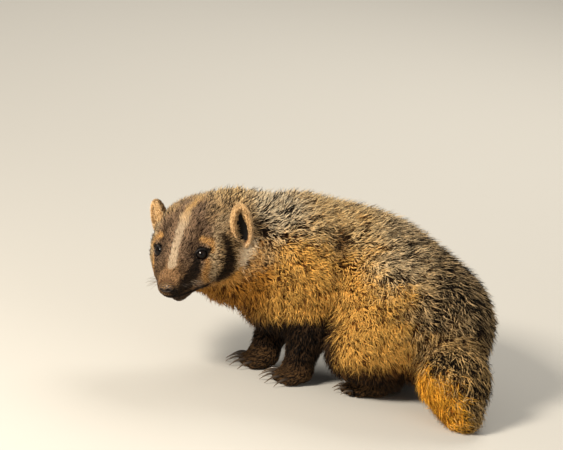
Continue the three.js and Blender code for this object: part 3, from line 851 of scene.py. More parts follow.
# the markings of the cheek, with the painted shade behind the ear first, in the order they are laid on: hair,
# path and softness of the edge
CHEEK_MARKS = (
    (EAR_BACK, EAR_SHADE_PATH, 5),
    (GREY_CHEEK, GREY_PATH, 4),
    (BROW, CHEEK_GOLD_PATH, 3),
    (JAW, JAW_PATH, 4),
    (BROW, GOLD_EDGE_PATH, 4),
    (CREAM, WHITE_PATH, 4.5),
    (BADGE, BADGE_PATH, 3.4),
)
NAPE_PATCH = ((-76, -26, 186), (52, 66, 34))
FOLD_SHADE = 8.0


@dataclass(frozen=True)
class FaceMarks:
    """Where the face's markings are looked up: each point on the left half, and what frays them."""

    side: Array
    ragged: Array
    fine: Array

    def edge(self, path: tuple, soft: float, fray: float = 1.2) -> Array:
        """The share of a marking along a path, with a given softness and fray in mm."""
        return 1 - smooth(-soft, soft, trail(self.side, path) + self.ragged * fray + self.fine * 0.4)


def coat_colours(points: Array, normals: Array, ragged: Array) -> Array:
    """The markings of the coat, with shade painted on the underside, low down, along the shoulder fold, under
    the chest and throat, and towards the rear of the rump.

    Args:
        points: places on the skin, mm.
        normals: outward normals there.
        ragged: a draw from -1 to 1 for each, which frays the edges of the markings.

    Returns:
        Five rows for each point: root, shaft, tip, dark hair, and the share of dark hairs.
    """
    shares = ANATOMY.shares(points)
    points = points + normals * coat_depth(points, shares)[:, None]
    local = HEAD.local(points)
    side = np.abs(local) * vec(0, 1, 0) + local * vec(1, 0, 1)
    x, _, z = points.T
    upward = normals[:, 2]
    wander, fine = waves(points, 60, 5), waves(points, 18, 6)
    out = np.repeat(GOLD.rows()[None], len(points), 0)
    topside = smooth(0.3, 0.85, upward + 0.14 * wander + 0.12 * fine) * smooth(96, 136, z)
    out = paint(out, BACK, topside * 0.95)
    from_nape = np.linalg.norm((points - vec(*NAPE_PATCH[0])) / vec(*NAPE_PATCH[1]), axis=1)
    out = paint(out, GRIZZLE, np.clip(2.0 - 2.0 * from_nape, 0, 1) * smooth(-0.3, 0.4, upward + 0.2))
    saddle = smooth(20, 70, x) * (1 - smooth(90, 140, x)) * smooth(0.55, 0.85, upward)
    out = paint(out, GRIZZLE, saddle * 0.6)
    # the rump's grizzled hair towards the rear: partly its own colour, partly painted shade on the side away
    # from the light
    rump = smooth(75, 150, x + 0.3 * z - 30 + 16 * fine + 12 * wander) * smooth(-0.8, 0.1, upward)
    out = paint(out, RUMP, rump * (1 - 0.8 * shares[Part.TAIL]))
    # painted shade along the shoulder fold, as dark hair
    out = paint(out, SHADE_HAIR, np.exp(-((trail(points, SHOULDER_FOLD) / FOLD_SHADE) ** 2)) * 1.1)
    # painted shade: downward-facing surfaces and everything low near the floor get the dark hair
    low = 1 - smooth(34, 60, z + 5 * ragged)
    out = paint(out, SHADE_HAIR, np.clip(1 - smooth(-0.8, -0.25, upward) + low, 0, 1))
    # the throat's own orange-brown, darkened as painted shade under the head and neck
    throat = 1 - smooth(-74, -42, local[:, 2] + 4 * fine)
    out = paint(out, THROAT, throat * (shares[Part.NECK] + shares[Part.HEAD]))
    tail = shares[Part.TAIL]
    out = paint(out, TAIL_EDGE, tail * 1.2)
    orange = 1 - smooth(158, 172, x + 5 * ragged + 4 * fine)
    orange = orange * (1 - smooth(56, 72, z + 5 * ragged + 3 * fine))
    out = paint(out, TAIL_HAIR, smooth(0.2, 0.7, tail) * orange)
    # the lower chest in the legs' dark hair: partly its own dark fur, partly painted shade under the chest
    brisket = 1 - smooth(-5, 5, z - 74 - 0.17 * (x + 69) + 4 * ragged + 3 * fine)
    out = paint(out, LEG, brisket * smooth(-88, -76, x) * (1 - smooth(10, 26, x + 4 * ragged)))
    legs = shares[Part.FORELEG] * (1 - smooth(66, 92, z + 5 * ragged))
    legs = legs + shares[Part.SHANK] * (1 - smooth(34, 62, z + 6 * ragged))
    out = paint(out, LEG, legs * 1.3)
    out = paint(out, FOOT, np.minimum(1, shares[Part.PAW] * 1.6) * (1 - smooth(26, 40, z)))
    face = face_colours(local, FaceMarks(side, ragged, fine))
    return out + (face - out) * face_share(local, fine)[:, None, None]


def face_share(local: Array, fine: Array) -> Array:
    """How far the face's own markings reach, for points in the head's axes."""
    apart = np.linalg.norm(local - vec(-20, 0, -15), axis=1)
    return smooth(-84, -60, local[:, 0] + 5 * fine) * (1 - smooth(78, 102, apart))


def face_colours(local: Array, marks: FaceMarks) -> Array:
    """The mask of the face.

    Args:
        local: points in the head's axes.
        marks: where the markings are looked up.

    Returns:
        Five rows for each point, as for the coat.
    """
    forward, across, fine = local[:, 0], marks.side[:, 1], marks.fine
    face = np.repeat(CROWN.rows()[None], len(local), 0)
    mask = smooth(-48, -16, forward + 6 * fine + 24 * (1 - smooth(8, 26, across)))
    face = paint(face, MASK, mask * (1 - smooth(34, 44, across)))
    face = paint(face, MUZZLE, smooth(14, 32, forward))
    face = paint(face, MASK_DARK, marks.edge(MASK_DARK_PATH, 5) * 0.8)
    # the throat's hair, with its painted shade under the jaw
    face = paint(face, THROAT, 1 - smooth(-46, -35, local[:, 2] + 2 * marks.ragged))
    for hair, path, soft in CHEEK_MARKS:
        face = paint(face, hair, marks.edge(path, soft))
    far_side = smooth(-4, 4, -local[:, 1])
    face = paint(face, BLACK, marks.edge(EYE_PATCH_PATH, 3.2) * (0.95 - 0.45 * far_side))
    face = paint(face, BROW, marks.edge(BROW_PATH, 2.4))
    face = paint(face, BLACK, marks.edge(EYE_CORNER_PATH, 1))
    stripe = marks.edge(STRIPE_PATH, 0.9, 0.7)
    face = paint(face, STRIPE, stripe)
    face = paint(face, STRIPE_TOP, stripe * (1 - smooth(-44, -8, forward)))
    mouth = mouth_line(local)
    under_lip = (1 - smooth(-1.5, 0.5, mouth)) * smooth(4, 14, forward)
    face = paint(face, MASK_DARK, under_lip * 0.9)
    face = paint(face, BLACK, np.exp(-((mouth / 2.6) ** 2)))
    return paint(face, BLACK, 1 - smooth(7.6, 9.4, eye_gap_local(local) + marks.ragged * 0.4))


# ---------------------------------------------------------------- meshes and finishes


def deselect() -> None:
    """Leaves nothing selected."""
    for thing in bpy.context.selected_objects:
        thing.select_set(False)


def activate(thing: bpy.types.Object) -> None:
    """Selects one object and makes it active.

    Args:
        thing: the object.
    """
    deselect()
    thing.select_set(True)
    bpy.context.view_layer.objects.active = thing


def unmark(mesh: bpy.types.Mesh) -> None:
    """Leaves no vertex, edge or face of a mesh selected."""
    for flags in (mesh.vertices, mesh.edges, mesh.polygons):
        flags.foreach_set("select", np.zeros(len(flags), bool))


def round_blank(name: str, segments: int, rings: int) -> bpy.types.Object:
    """A ball of radius one that is shaped afterwards.

    Args:
        name: the object's name.
        segments: corners round the ball.
        rings: rings from pole to pole.

    Returns:
        The object.
    """
    deselect()
    bpy.ops.mesh.primitive_uv_sphere_add(segments=segments, ring_count=rings, radius=1)
    thing = bpy.context.active_object
    thing.name = thing.data.name = name
    return thing


def fix_order(thing: bpy.types.Object) -> None:
    """Puts a mesh's faces and their corners in a fixed order, as the primitive's own one varies.

    Args:
        thing: the object.
    """
    mesh = thing.data
    points = [tuple(vertex.co) for vertex in mesh.vertices]
    faces = []
    for polygon in mesh.polygons:
        corners = list(polygon.vertices)
        first = corners.index(min(corners))
        faces.append(corners[first:] + corners[:first])
    mesh.clear_geometry()
    mesh.from_pydata(points, [], sorted(faces))


def shade(thing: bpy.types.Object) -> None:
    """Shades a shaped blank smooth."""
    activate(thing)
    bpy.ops.object.shade_smooth()


def raw_points(thing: bpy.types.Object) -> Array:
    """A mesh's vertices as they are stored.

    Args:
        thing: the object.

    Returns:
        Rows of x, y, z.
    """
    flat = np.zeros(len(thing.data.vertices) * 3, np.float32)
    thing.data.vertices.foreach_get("co", flat)
    return flat.reshape(-1, 3).astype(float)


def read_points(thing: bpy.types.Object) -> Array:
    """A mesh's vertices in design mm."""
    return raw_points(thing) / MM + CENTRE


def write_points(thing: bpy.types.Object, points: Array) -> None:
    """Puts design points back into a mesh."""
    thing.data.vertices.foreach_set("co", ((points - CENTRE) * MM).astype(np.float32).ravel())
    thing.data.update()


def mesh_object(name: str, points: Array, faces: list) -> bpy.types.Object:
    """A smooth-shaded object from design points and groups of faces.

    Args:
        name: the object's name.
        points: design mm.
        faces: index arrays, each with all its faces of one size.

    Returns:
        The object, linked to the scene.
    """
    mesh = bpy.data.meshes.new(name)
    mesh.vertices.add(len(points))
    mesh.vertices.foreach_set("co", ((points - CENTRE) * MM).astype(np.float32).ravel())
    sizes = np.concatenate([np.full(len(f), f.shape[1]) for f in faces])
    mesh.loops.add(int(sizes.sum()))
    mesh.loops.foreach_set("vertex_index", np.concatenate([f.ravel() for f in faces]).astype(np.int32))
    mesh.polygons.add(len(sizes))
    mesh.polygons.foreach_set("loop_start", (np.cumsum(sizes) - sizes).astype(np.int32))
    mesh.polygons.foreach_set("use_smooth", np.ones(len(sizes), bool))
    mesh.update(calc_edges=True)
    thing = bpy.data.objects.new(name, mesh)
    bpy.context.scene.collection.objects.link(thing)
    return thing


def tint(thing: bpy.types.Object, colours: Array) -> None:
    """Stores a linear colour at each vertex.

    Args:
        thing: the object.
        colours: one row of three values for each vertex.
    """
    layer = thing.data.color_attributes.new("coat", "FLOAT_COLOR", "POINT")
    rows = np.concatenate([colours, np.ones((len(colours), 1))], 1)
    layer.data.foreach_set("color", rows.astype(np.float32).ravel())


def patch_group() -> bpy.types.NodeTree:
    """The shared effect that breaks up a colour in soft light and dark patches.

    Returns:
        The node group.
    """
    group = bpy.data.node_groups.new("patchiness", "ShaderNodeTree")
    group.interface.new_socket("Colour", in_out="INPUT", socket_type="NodeSocketColor")
    for name, value in (("Scale", 400), ("Strength", 0.2)):
        socket = group.interface.new_socket(name, in_out="INPUT", socket_type="NodeSocketFloat")
        socket.default_value = value
    group.interface.new_socket("Colour", in_out="OUTPUT", socket_type="NodeSocketColor")
    group.interface.new_socket("Height", in_out="OUTPUT", socket_type="NodeSocketFloat")
    nodes, links = group.nodes, group.links
    start, end = nodes.new("NodeGroupInput"), nodes.new("NodeGroupOutput")
    place, noise = nodes.new("ShaderNodeTexCoord"), nodes.new("ShaderNodeTexNoise")
    noise.inputs["Detail"].default_value = 3
    centred, scaled, bright = (nodes.new("ShaderNodeMath") for _ in range(3))
    centred.operation, scaled.operation, bright.operation = "SUBTRACT", "MULTIPLY", "ADD"
    centred.inputs[1].default_value, bright.inputs[1].default_value = 0.5, 1.0
    product = nodes.new("ShaderNodeVectorMath")
    product.operation = "SCALE"
    links.new(place.outputs["Object"], noise.inputs["Vector"])
    links.new(start.outputs["Scale"], noise.inputs["Scale"])
    links.new(noise.outputs["Fac"], centred.inputs[0])
    links.new(centred.outputs[0], scaled.inputs[0])
    links.new(start.outputs["Strength"], scaled.inputs[1])
    links.new(scaled.outputs[0], bright.inputs[0])
    links.new(start.outputs["Colour"], product.inputs[0])
    links.new(bright.outputs[0], product.inputs["Scale"])
    links.new(product.outputs["Vector"], end.inputs["Colour"])
    links.new(noise.outputs["Fac"], end.inputs["Height"])
    return group


WET_ROUGHNESS = 0.04
RELIEF_DEPTH = 0.0006


@dataclass(frozen=True)
class Finish:
    """A surface finish: a colour or the stored coat colours, broken up in patches, with a relief."""

    name: str
    colour: tuple | None
    roughness: float
    patch_scale: float = 500
    patch_strength: float = 0.5
    relief: float = 0.0
    coat: float = 0.0
    specular: float = 0.5

    def material(self, patches: bpy.types.NodeTree) -> bpy.types.Material:
        """Builds the material.

        Args:
            patches: the shared effect.

        Returns:
            The material.
        """
        made = bpy.data.materials.new(self.name)
        made.use_nodes = True
        nodes, links = made.node_tree.nodes, made.node_tree.links
        shader = nodes["Principled BSDF"]
        shader.inputs["Roughness"].default_value = self.roughness
        shader.inputs["Coat Weight"].default_value = self.coat
        shader.inputs["Coat Roughness"].default_value = WET_ROUGHNESS
        shader.inputs["Specular IOR Level"].default_value = self.specular
        effect = nodes.new("ShaderNodeGroup")
        effect.node_tree = patches
        effect.inputs["Scale"].default_value = self.patch_scale
        effect.inputs["Strength"].default_value = self.patch_strength
        if self.colour is None:
            stored = nodes.new("ShaderNodeVertexColor")
            stored.layer_name = "coat"
            links.new(stored.outputs["Color"], effect.inputs["Colour"])
        else:
            effect.inputs["Colour"].default_value = (*rgb(*self.colour), 1)
        links.new(effect.outputs["Colour"], shader.inputs["Base Color"])
        if self.relief:
            bump = nodes.new("ShaderNodeBump")
            bump.inputs["Strength"].default_value = self.relief
            bump.inputs["Distance"].default_value = RELIEF_DEPTH
            links.new(effect.outputs["Height"], bump.inputs["Height"])
            links.new(bump.outputs["Normal"], shader.inputs["Normal"])
        return made


FUR = Finish("badger_hair", None, 0.6, 900, 0.4, specular=0.1)
SKIN = Finish("badger_skin", None, 0.8, 700, 0.6, relief=0.5, specular=0.2)
NOSE_SKIN = Finish("nose_leather", None, 0.5, 1500, 0.8, relief=0.9, coat=0.08, specular=0.35)
LID_SKIN = Finish("eyelid_skin", (15, 11, 9), 0.45, 1800, 0.5, relief=0.4, coat=0.1, specular=0.3)
EYE = Finish("eye_surface", None, 0.1, 900, 0.3, coat=0.28, specular=0.04)
HORN = Finish("claw_horn", None, 0.38, 1600, 0.5, relief=0.15, coat=0.15)
WHISKER = Finish("whisker_hair", None, 0.4, 800, 0.2)


@dataclass
class Workshop:
    """Holds the finishes in use and lists the finished pieces."""

    patches: bpy.types.NodeTree = None
    materials: dict = field(default_factory=dict)
    pieces: list = field(default_factory=list)

    def finish(self, thing: bpy.types.Object, finish: Finish, slot: str, *nodes: str) -> None:
        """Gives a piece its material and its body, hides the CAD nodes that it stands for and lists it.

        Args:
            thing: the piece.
            finish: its finish.
            slot: its material slot; not used.
            nodes: the CAD nodes that it stands for.
        """
        if self.patches is None:
            self.patches = patch_group()
        if finish.name not in self.materials:
            self.materials[finish.name] = finish.material(self.patches)
        thing.data.materials.clear()
        thing.data.materials.append(self.materials[finish.name])
        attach(thing, "root")
        if nodes:
            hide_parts(*nodes)
        self.pieces.append(thing)
        LOG.info("%s: %d faces", thing.name, len(thing.data.polygons))


# ---------------------------------------------------------------- skin

FLOOR_GAP = 0.3
EYE_OPEN = (6.6, 5.9)


def eye_plane(side: int) -> Array:
    """Rows at an eye: across it, up it, and the way it looks.

    Args:
        side: 1 for the left, -1 for the right.

    Returns:
        A square of three rows.
    """
    way = HEAD.eye_way(side)
    across = unit(np.cross(HEAD.axes()[2], way))
    return np.array([across, np.cross(way, across), way])


@dataclass
class Skin:
    """One closed skin for all the flesh, at the depth of the coat inside the animal's form."""

    voxel: float = 2.2
    inset: float = 6
    smoothing: int = 4
    thing: bpy.types.Object = None

    def blank(self) -> None:
        """Joins a primitive for each mass and remeshes them into one closed surface."""
        made = []
        for mass in ANATOMY.form.masses:
            if isinstance(mass, Ball):
                radii = mass.radii - np.minimum(self.inset, mass.radii * 0.3)
                made.append(self.egg(mass.centre, radii, mass.axes))
            else:
                ends = np.linspace(0, 1, max(2, int(np.linalg.norm(mass.end - mass.start) / 12) + 2))
                for t in ends:
                    r = mass.radius(t)
                    r -= min(self.inset, r * 0.3)
                    made.append(self.egg(mass.start + (mass.end - mass.start) * t, vec(r, r, r), np.eye(3)))
        deselect()
        for thing in made:
            thing.select_set(True)
        bpy.context.view_layer.objects.active = made[0]
        bpy.ops.object.join()
        self.thing = bpy.context.view_layer.objects.active
        self.thing.name = self.thing.data.name = "skin"
        remesh = self.thing.modifiers.new("one surface", "REMESH")
        remesh.mode = "VOXEL"
        remesh.voxel_size = self.voxel * MM
        bpy.ops.object.modifier_apply(modifier=remesh.name)

    def egg(self, centre: Array, radii: Array, axes: Array) -> bpy.types.Object:
        """An ellipsoid of the rough form.

        Args:
            centre: its middle, in mm.
            radii: its three radii.
            axes: its axes as rows.

        Returns:
            The object.
        """
        thing = round_blank("mass", 24, 14)
        turn = Matrix(np.diag(radii * MM) @ axes).transposed().to_4x4()
        thing.data.transform(Matrix.Translation(Vector((centre - CENTRE) * MM)) @ turn)
        return thing

    def relax(self, rounds: int) -> None:
        """Evens out the spacing of the vertices and lays them at the coat's depth.

        Args:
            rounds: how often the vertices are moved.
        """
        edges = np.zeros(len(self.thing.data.edges) * 2, np.int32)
        self.thing.data.edges.foreach_get("vertices", edges)
        a, b = edges.reshape(-1, 2).T
        points = read_points(self.thing)
        count = np.bincount(a, minlength=len(points)) + np.bincount(b, minlength=len(points))
        for _ in range(rounds):
            depth = self.depth(points)
            d, normal = ANATOMY.form.level(points)
            points = points - normal * np.clip(d + depth, -6, 6)[:, None]
            ways = ((a, points[b]), (b, points[a]))
            sums = [sum(np.bincount(to, near[:, i], len(points)) for to, near in ways) for i in range(3)]
            total = np.stack(sums, 1)
            shift = total / count[:, None] - points
            points = points + 0.5 * (shift - 0.7 * normal * dots(shift, normal)[:, None])
        points = ANATOMY.form.settle(points, self.depth(points), 1)
        points[:, 2] = np.maximum(points[:, 2], FLOOR_GAP)
        write_points(self.thing, points)

    def depth(self, points: Array) -> Array:
        """The coat's depth, with the line of the mouth, and the skin held clear of the eyes' openings.

        Args:
            points: rows of x, y, z in mm.

        Returns:
            One depth for each point, in mm.
        """
        shares = ANATOMY.shares(points)
        depth = coat_depth(points, shares)
        mouth = mouth_line(HEAD.local(points))
        lips = np.exp(-(((np.abs(mouth) - 2.6) / 1.3) ** 2))
        depth = depth + 2.2 * np.exp(-((mouth / 1.0) ** 2)) - 0.5 * lips
        for side in SIDES.values():
            local = (points - HEAD.eye_centre(side)) @ eye_plane(side).T
            spread = np.hypot(local[:, 0] / (EYE_OPEN[0] + 1.2), local[:, 1] / (EYE_OPEN[1] + 1.2))
            depth = np.where((spread < 1) & (local[:, 2] > 0), 4.5, depth)
        return depth

    def build(self) -> None:
        """Models the skin, with a finer mesh on the head."""
        self.blank()
        self.relax(self.smoothing)
        points = read_points(self.thing)
        local = HEAD.local(points)
        head = (ANATOMY.shares(points)[Part.HEAD] > 0.5) & (local[:, 0] > -70)
        activate(self.thing)
        unmark(self.thing.data)
        self.thing.data.vertices.foreach_set("select", head)
        bpy.ops.object.mode_set(mode="EDIT")
        bpy.ops.mesh.select_mode(type="VERT")
        bpy.ops.mesh.select_mode(type="FACE")
        bpy.ops.mesh.subdivide(number_cuts=1)
        bpy.ops.mesh.select_all(action="DESELECT")
        bpy.ops.object.mode_set(mode="OBJECT")
        self.relax(2)
        faces = self.thing.data.polygons
        faces.foreach_set("use_smooth", np.ones(len(faces), bool))

    def dress(self, shop: Workshop) -> None:
        """Colours the skin as the coat's roots are and enters it.

        Args:
            shop: where finished pieces are entered.
        """
        points = read_points(self.thing)
        _, normals = ANATOMY.form.level(points)
        colours = coat_colours(points, normals, np.zeros(len(points)))
        tint(self.thing, colours[:, 0] * 0.55 + colours[:, 3] * 0.35)
        flesh = ["head", "neck", "chest", "hindquarters", "tail"]
        flesh += [f"{part}_{side}" for part in ("foreleg", "forepaw", "hindleg", "hindpaw") for side in SIDES]
        shop.finish(self.thing, SKIN, "body_fur", *flesh)


# ---------------------------------------------------------------- coat

RNG_SEED = 20
PATCH = 0.003


class Region(Enum):
    """The coat's pieces, each with its name and how many tufts it has."""

    FACE = ("coat_face", 31000)
    CROWN = ("coat_crown", 26000)
    NECK = ("coat_neck", 21000)
    SHOULDERS = ("coat_shoulders", 27000)
    FLANKS = ("coat_flanks", 25000)
    RUMP_NEAR = ("coat_rump_near", 26000)
    RUMP_FAR = ("coat_rump_far", 13000)
    THIGH_LEFT = ("coat_hindleg_left", 25000)
    THIGH_RIGHT = ("coat_hindleg_right", 8000)
    FORELEGS = ("coat_forelegs", 12000)
    PAWS = ("coat_paws", 9000)
    TAIL = ("coat_tail", 13000)


# where the face meets the crown, in the head's axes, and where the near side meets the far one
FACE_END = -22
NEAR_SIDE = -28


def region_of(points: Array, shares: dict) -> Array:
    """The number of the coat piece that each point belongs to.

    Args:
        points: rows of x, y, z in mm.
        shares: how much each part owns each point.

    Returns:
        One number for each point, in the order of Region.
    """
    order = list(Part)
    best = np.array([shares[part] for part in order]).argmax(0)
    numbers = {region: number for number, region in enumerate(Region)}
    x, y, _ = points.T
    near = y < NEAR_SIDE
    split = {
        Part.HEAD: (HEAD.local(points)[:, 0] > FACE_END, Region.FACE, Region.CROWN),
        Part.NECK: (near, Region.NECK, Region.NECK),
        Part.TORSO: (x < 0, Region.SHOULDERS, Region.FLANKS),
        Part.RUMP: (near, Region.RUMP_NEAR, Region.RUMP_FAR),
        Part.FORELEG: (near, Region.FORELEGS, Region.FORELEGS),
        Part.THIGH: (near, Region.THIGH_LEFT, Region.THIGH_RIGHT),
        Part.SHANK: (near, Region.THIGH_LEFT, Region.THIGH_RIGHT),
        Part.PAW: (near, Region.PAWS, Region.PAWS),
        Part.TAIL: (near, Region.TAIL, Region.TAIL),
    }
    result = np.zeros(len(x), int)
    for part_number, part in enumerate(order):
        test, one, other = split[part]
        chosen = np.where(test, numbers[one], numbers[other])
        result = np.where(best == part_number, chosen, result)
    return result


@dataclass
class Roots:
    """Where tufts grow: design points, and the place of each on the skin's unwrap."""

    points: Array
    flat: Array


@dataclass
class Ground:
    """A surface that tufts grow from, cut into triangles."""

    thing: bpy.types.Object

    def corners(self) -> tuple[Array, Array]:
        """The triangles' vertex numbers and loop numbers.

        Returns:
            Two arrays with a row of three for each triangle.
        """
        mesh = self.thing.data
        mesh.calc_loop_triangles()
        count = len(mesh.loop_triangles)
        vertices, loops = np.zeros(count * 3, np.int32), np.zeros(count * 3, np.int32)
        mesh.loop_triangles.foreach_get("vertices", vertices)
        mesh.loop_triangles.foreach_get("loops", loops)
        return vertices.reshape(-1, 3), loops.reshape(-1, 3)

    def unwrap(self, wanted: Array) -> None:
        """Unwraps the wanted faces over the whole of the working map.

        Args:
            wanted: a flag for each face.
        """
        mesh = self.thing.data
        if "roots" not in mesh.uv_layers:
            mesh.uv_layers.new(name="roots")
        activate(self.thing)
        unmark(mesh)
        mesh.polygons.foreach_set("select", wanted)
        bpy.ops.object.mode_set(mode="EDIT")
        bpy.ops.mesh.select_mode(type="FACE")
        bpy.ops.uv.smart_project(angle_limit=math.radians(75), island_margin=0.002)
        bpy.ops.object.mode_set(mode="OBJECT")

    def scatter(self, wanted: Array, weight: Array, count: int, draw: np.random.Generator) -> Roots:
        """Draws roots on the wanted faces.

        Args:
            wanted: a flag for each face.
            weight: how thickly tufts stand at each vertex.
            count: the number of roots.
            draw: the source of random draws.

        Returns:
            The roots.
        """
        mesh = self.thing.data
        vertices, loops = self.corners()
        owner = np.zeros(len(vertices), np.int32)
        mesh.loop_triangles.foreach_get("polygon_index", owner)
        points = read_points(self.thing)
        a, b, c = (points[vertices[:, i]] for i in range(3))
        area = np.linalg.norm(np.cross(b - a, c - a), axis=1) / 2
        area = area * wanted[owner] * weight[vertices].mean(1)
        upto = np.cumsum(area)
        picks = (np.arange(count) + draw.random(count)) / count * upto[-1]
        chosen = np.minimum(np.searchsorted(upto, picks), len(upto) - 1)
        u, v = draw.random(count), draw.random(count)
        flip = u + v > 1
        u, v = np.where(flip, 1 - u, u), np.where(flip, 1 - v, v)
        parts = np.stack([1 - u - v, u, v], 1)[..., None]
        flat = np.zeros(len(mesh.loops) * 2, np.float32)
        mesh.uv_layers["roots"].data.foreach_get("uv", flat)
        flat = flat.reshape(-1, 2)
        return Roots((points[vertices[chosen]] * parts).sum(1), (flat[loops[chosen]] * parts).sum(1))


def clumps(points: Array, cell: float, salt: float) -> tuple[Array, Array]:
    """The nearest clump centre to each point, on a jittered grid, and a draw that belongs to it.

    Args:
        points: rows of x, y, z in mm.
        cell: how far apart clumps stand, in mm.
        salt: which set of clumps.

    Returns:
        A centre and a draw for each point.
    """
    base = np.floor(points / cell)
    best = np.full(len(points), 1e9)
    centre, key = np.zeros_like(points), np.zeros(len(points))
    for step in np.ndindex(3, 3, 3):
        cells = base + np.array(step) - 1
        jitter = np.stack([hashed(cells, salt + i) for i in range(3)], 1)
        place = (cells + jitter) * cell
        gap = ((place - points) ** 2).sum(1)
        closer = gap < best
        best[closer], centre[closer] = gap[closer], place[closer]
        key[closer] = hashed(cells[closer], salt + 9)
    return centre, key


@dataclass
class TuftShape:
    """The sizes of each tuft, and the way it grows."""

    length: Array
    width: Array
    depth: Array
    way: Array
    veer: Array
    curl: Array
    stand: Array
    pull: Array
    clump: Array


CORNERS = 3
BEND_AT = 0.42
BEND_RISE = 0.62


def grow(name: str, form: Form, roots: Roots, shape: TuftShape, colours: Array) -> bpy.types.Object:
    """Grows one mesh of tufts: each tapers from a bend both to its root and to its tip.

    Args:
        name: the piece's name.
        form: the surface whose levels the tufts follow.
        roots: where they grow.
        shape: the size and lie of each.
        colours: root, shaft and tip colours of each.

    Returns:
        The coat piece, with its colours and its bake map.
    """
    count = len(roots.points)
    point = roots.points
    _, normal = form.level(point)
    way = unit(shape.way + np.cross(normal, shape.way) * shape.veer[:, None])
    apart = shape.clump - point
    apart = apart - normal * dots(apart, normal)[:, None]
    apart = apart - 0.7 * way * dots(apart, way)[:, None]
    places = [point - normal * (0.12 * shape.depth + 0.3)[:, None]]
    for part, rise in ((BEND_AT, BEND_RISE), (1 - BEND_AT, 1.0)):
        bend = way + apart / np.maximum(shape.length, 1)[:, None] * shape.pull[:, None]
        point = point + bend * (shape.length * part)[:, None]
        d, normal = form.level(point)
        want = shape.depth * (1 - rise * (1 + shape.stand))
        point = point - normal * np.clip(d + want, -12, 12)[:, None]
        point[:, 2] = np.maximum(point[:, 2], FLOOR_GAP + 0.5)
        if len(places) == 1:
            across = np.cross(normal, way) * (shape.width / 2)[:, None]
            up = normal * (shape.width * 0.4)[:, None]
            ring = [point + across, point + up, point - across]
        way = unit(way - normal * dots(way, normal)[:, None] + np.cross(normal, way) * shape.curl[:, None])
        places.append(point)
    corners = [places[0], *ring, places[2]]
    per = CORNERS + 2
    points = np.stack(corners, 1).reshape(-1, 3)
    points[:, 2] = np.maximum(points[:, 2], FLOOR_GAP)
    pattern = []
    for c in range(CORNERS):
        here, after = 1 + c, 1 + (c + 1) % CORNERS
        pattern += [[0, after, here], [here, after, per - 1]]
    faces = ((np.arange(count) * per)[:, None, None] + np.array(pattern)[None]).reshape(-1, 3)
    thing = mesh_object(name, points, [faces])
    bent = colours[:, 1] * 0.6 + colours[:, 2] * 0.4
    tint(thing, np.stack([colours[:, 0], bent, bent, bent, colours[:, 2]], 1).reshape(-1, 3))
    spread = np.array([(0, -0.5), (-0.5, 0), (0, 0), (0.5, 0), (0, 0.5)]) * PATCH
    flat = np.clip((roots.flat[:, None] + spread[None]).reshape(-1, 2), 0, 1)
    layer = thing.data.uv_layers.new(name="OFBake")
    layer.data.foreach_set("uv", flat[faces.ravel()].astype(np.float32).ravel())
    return thing


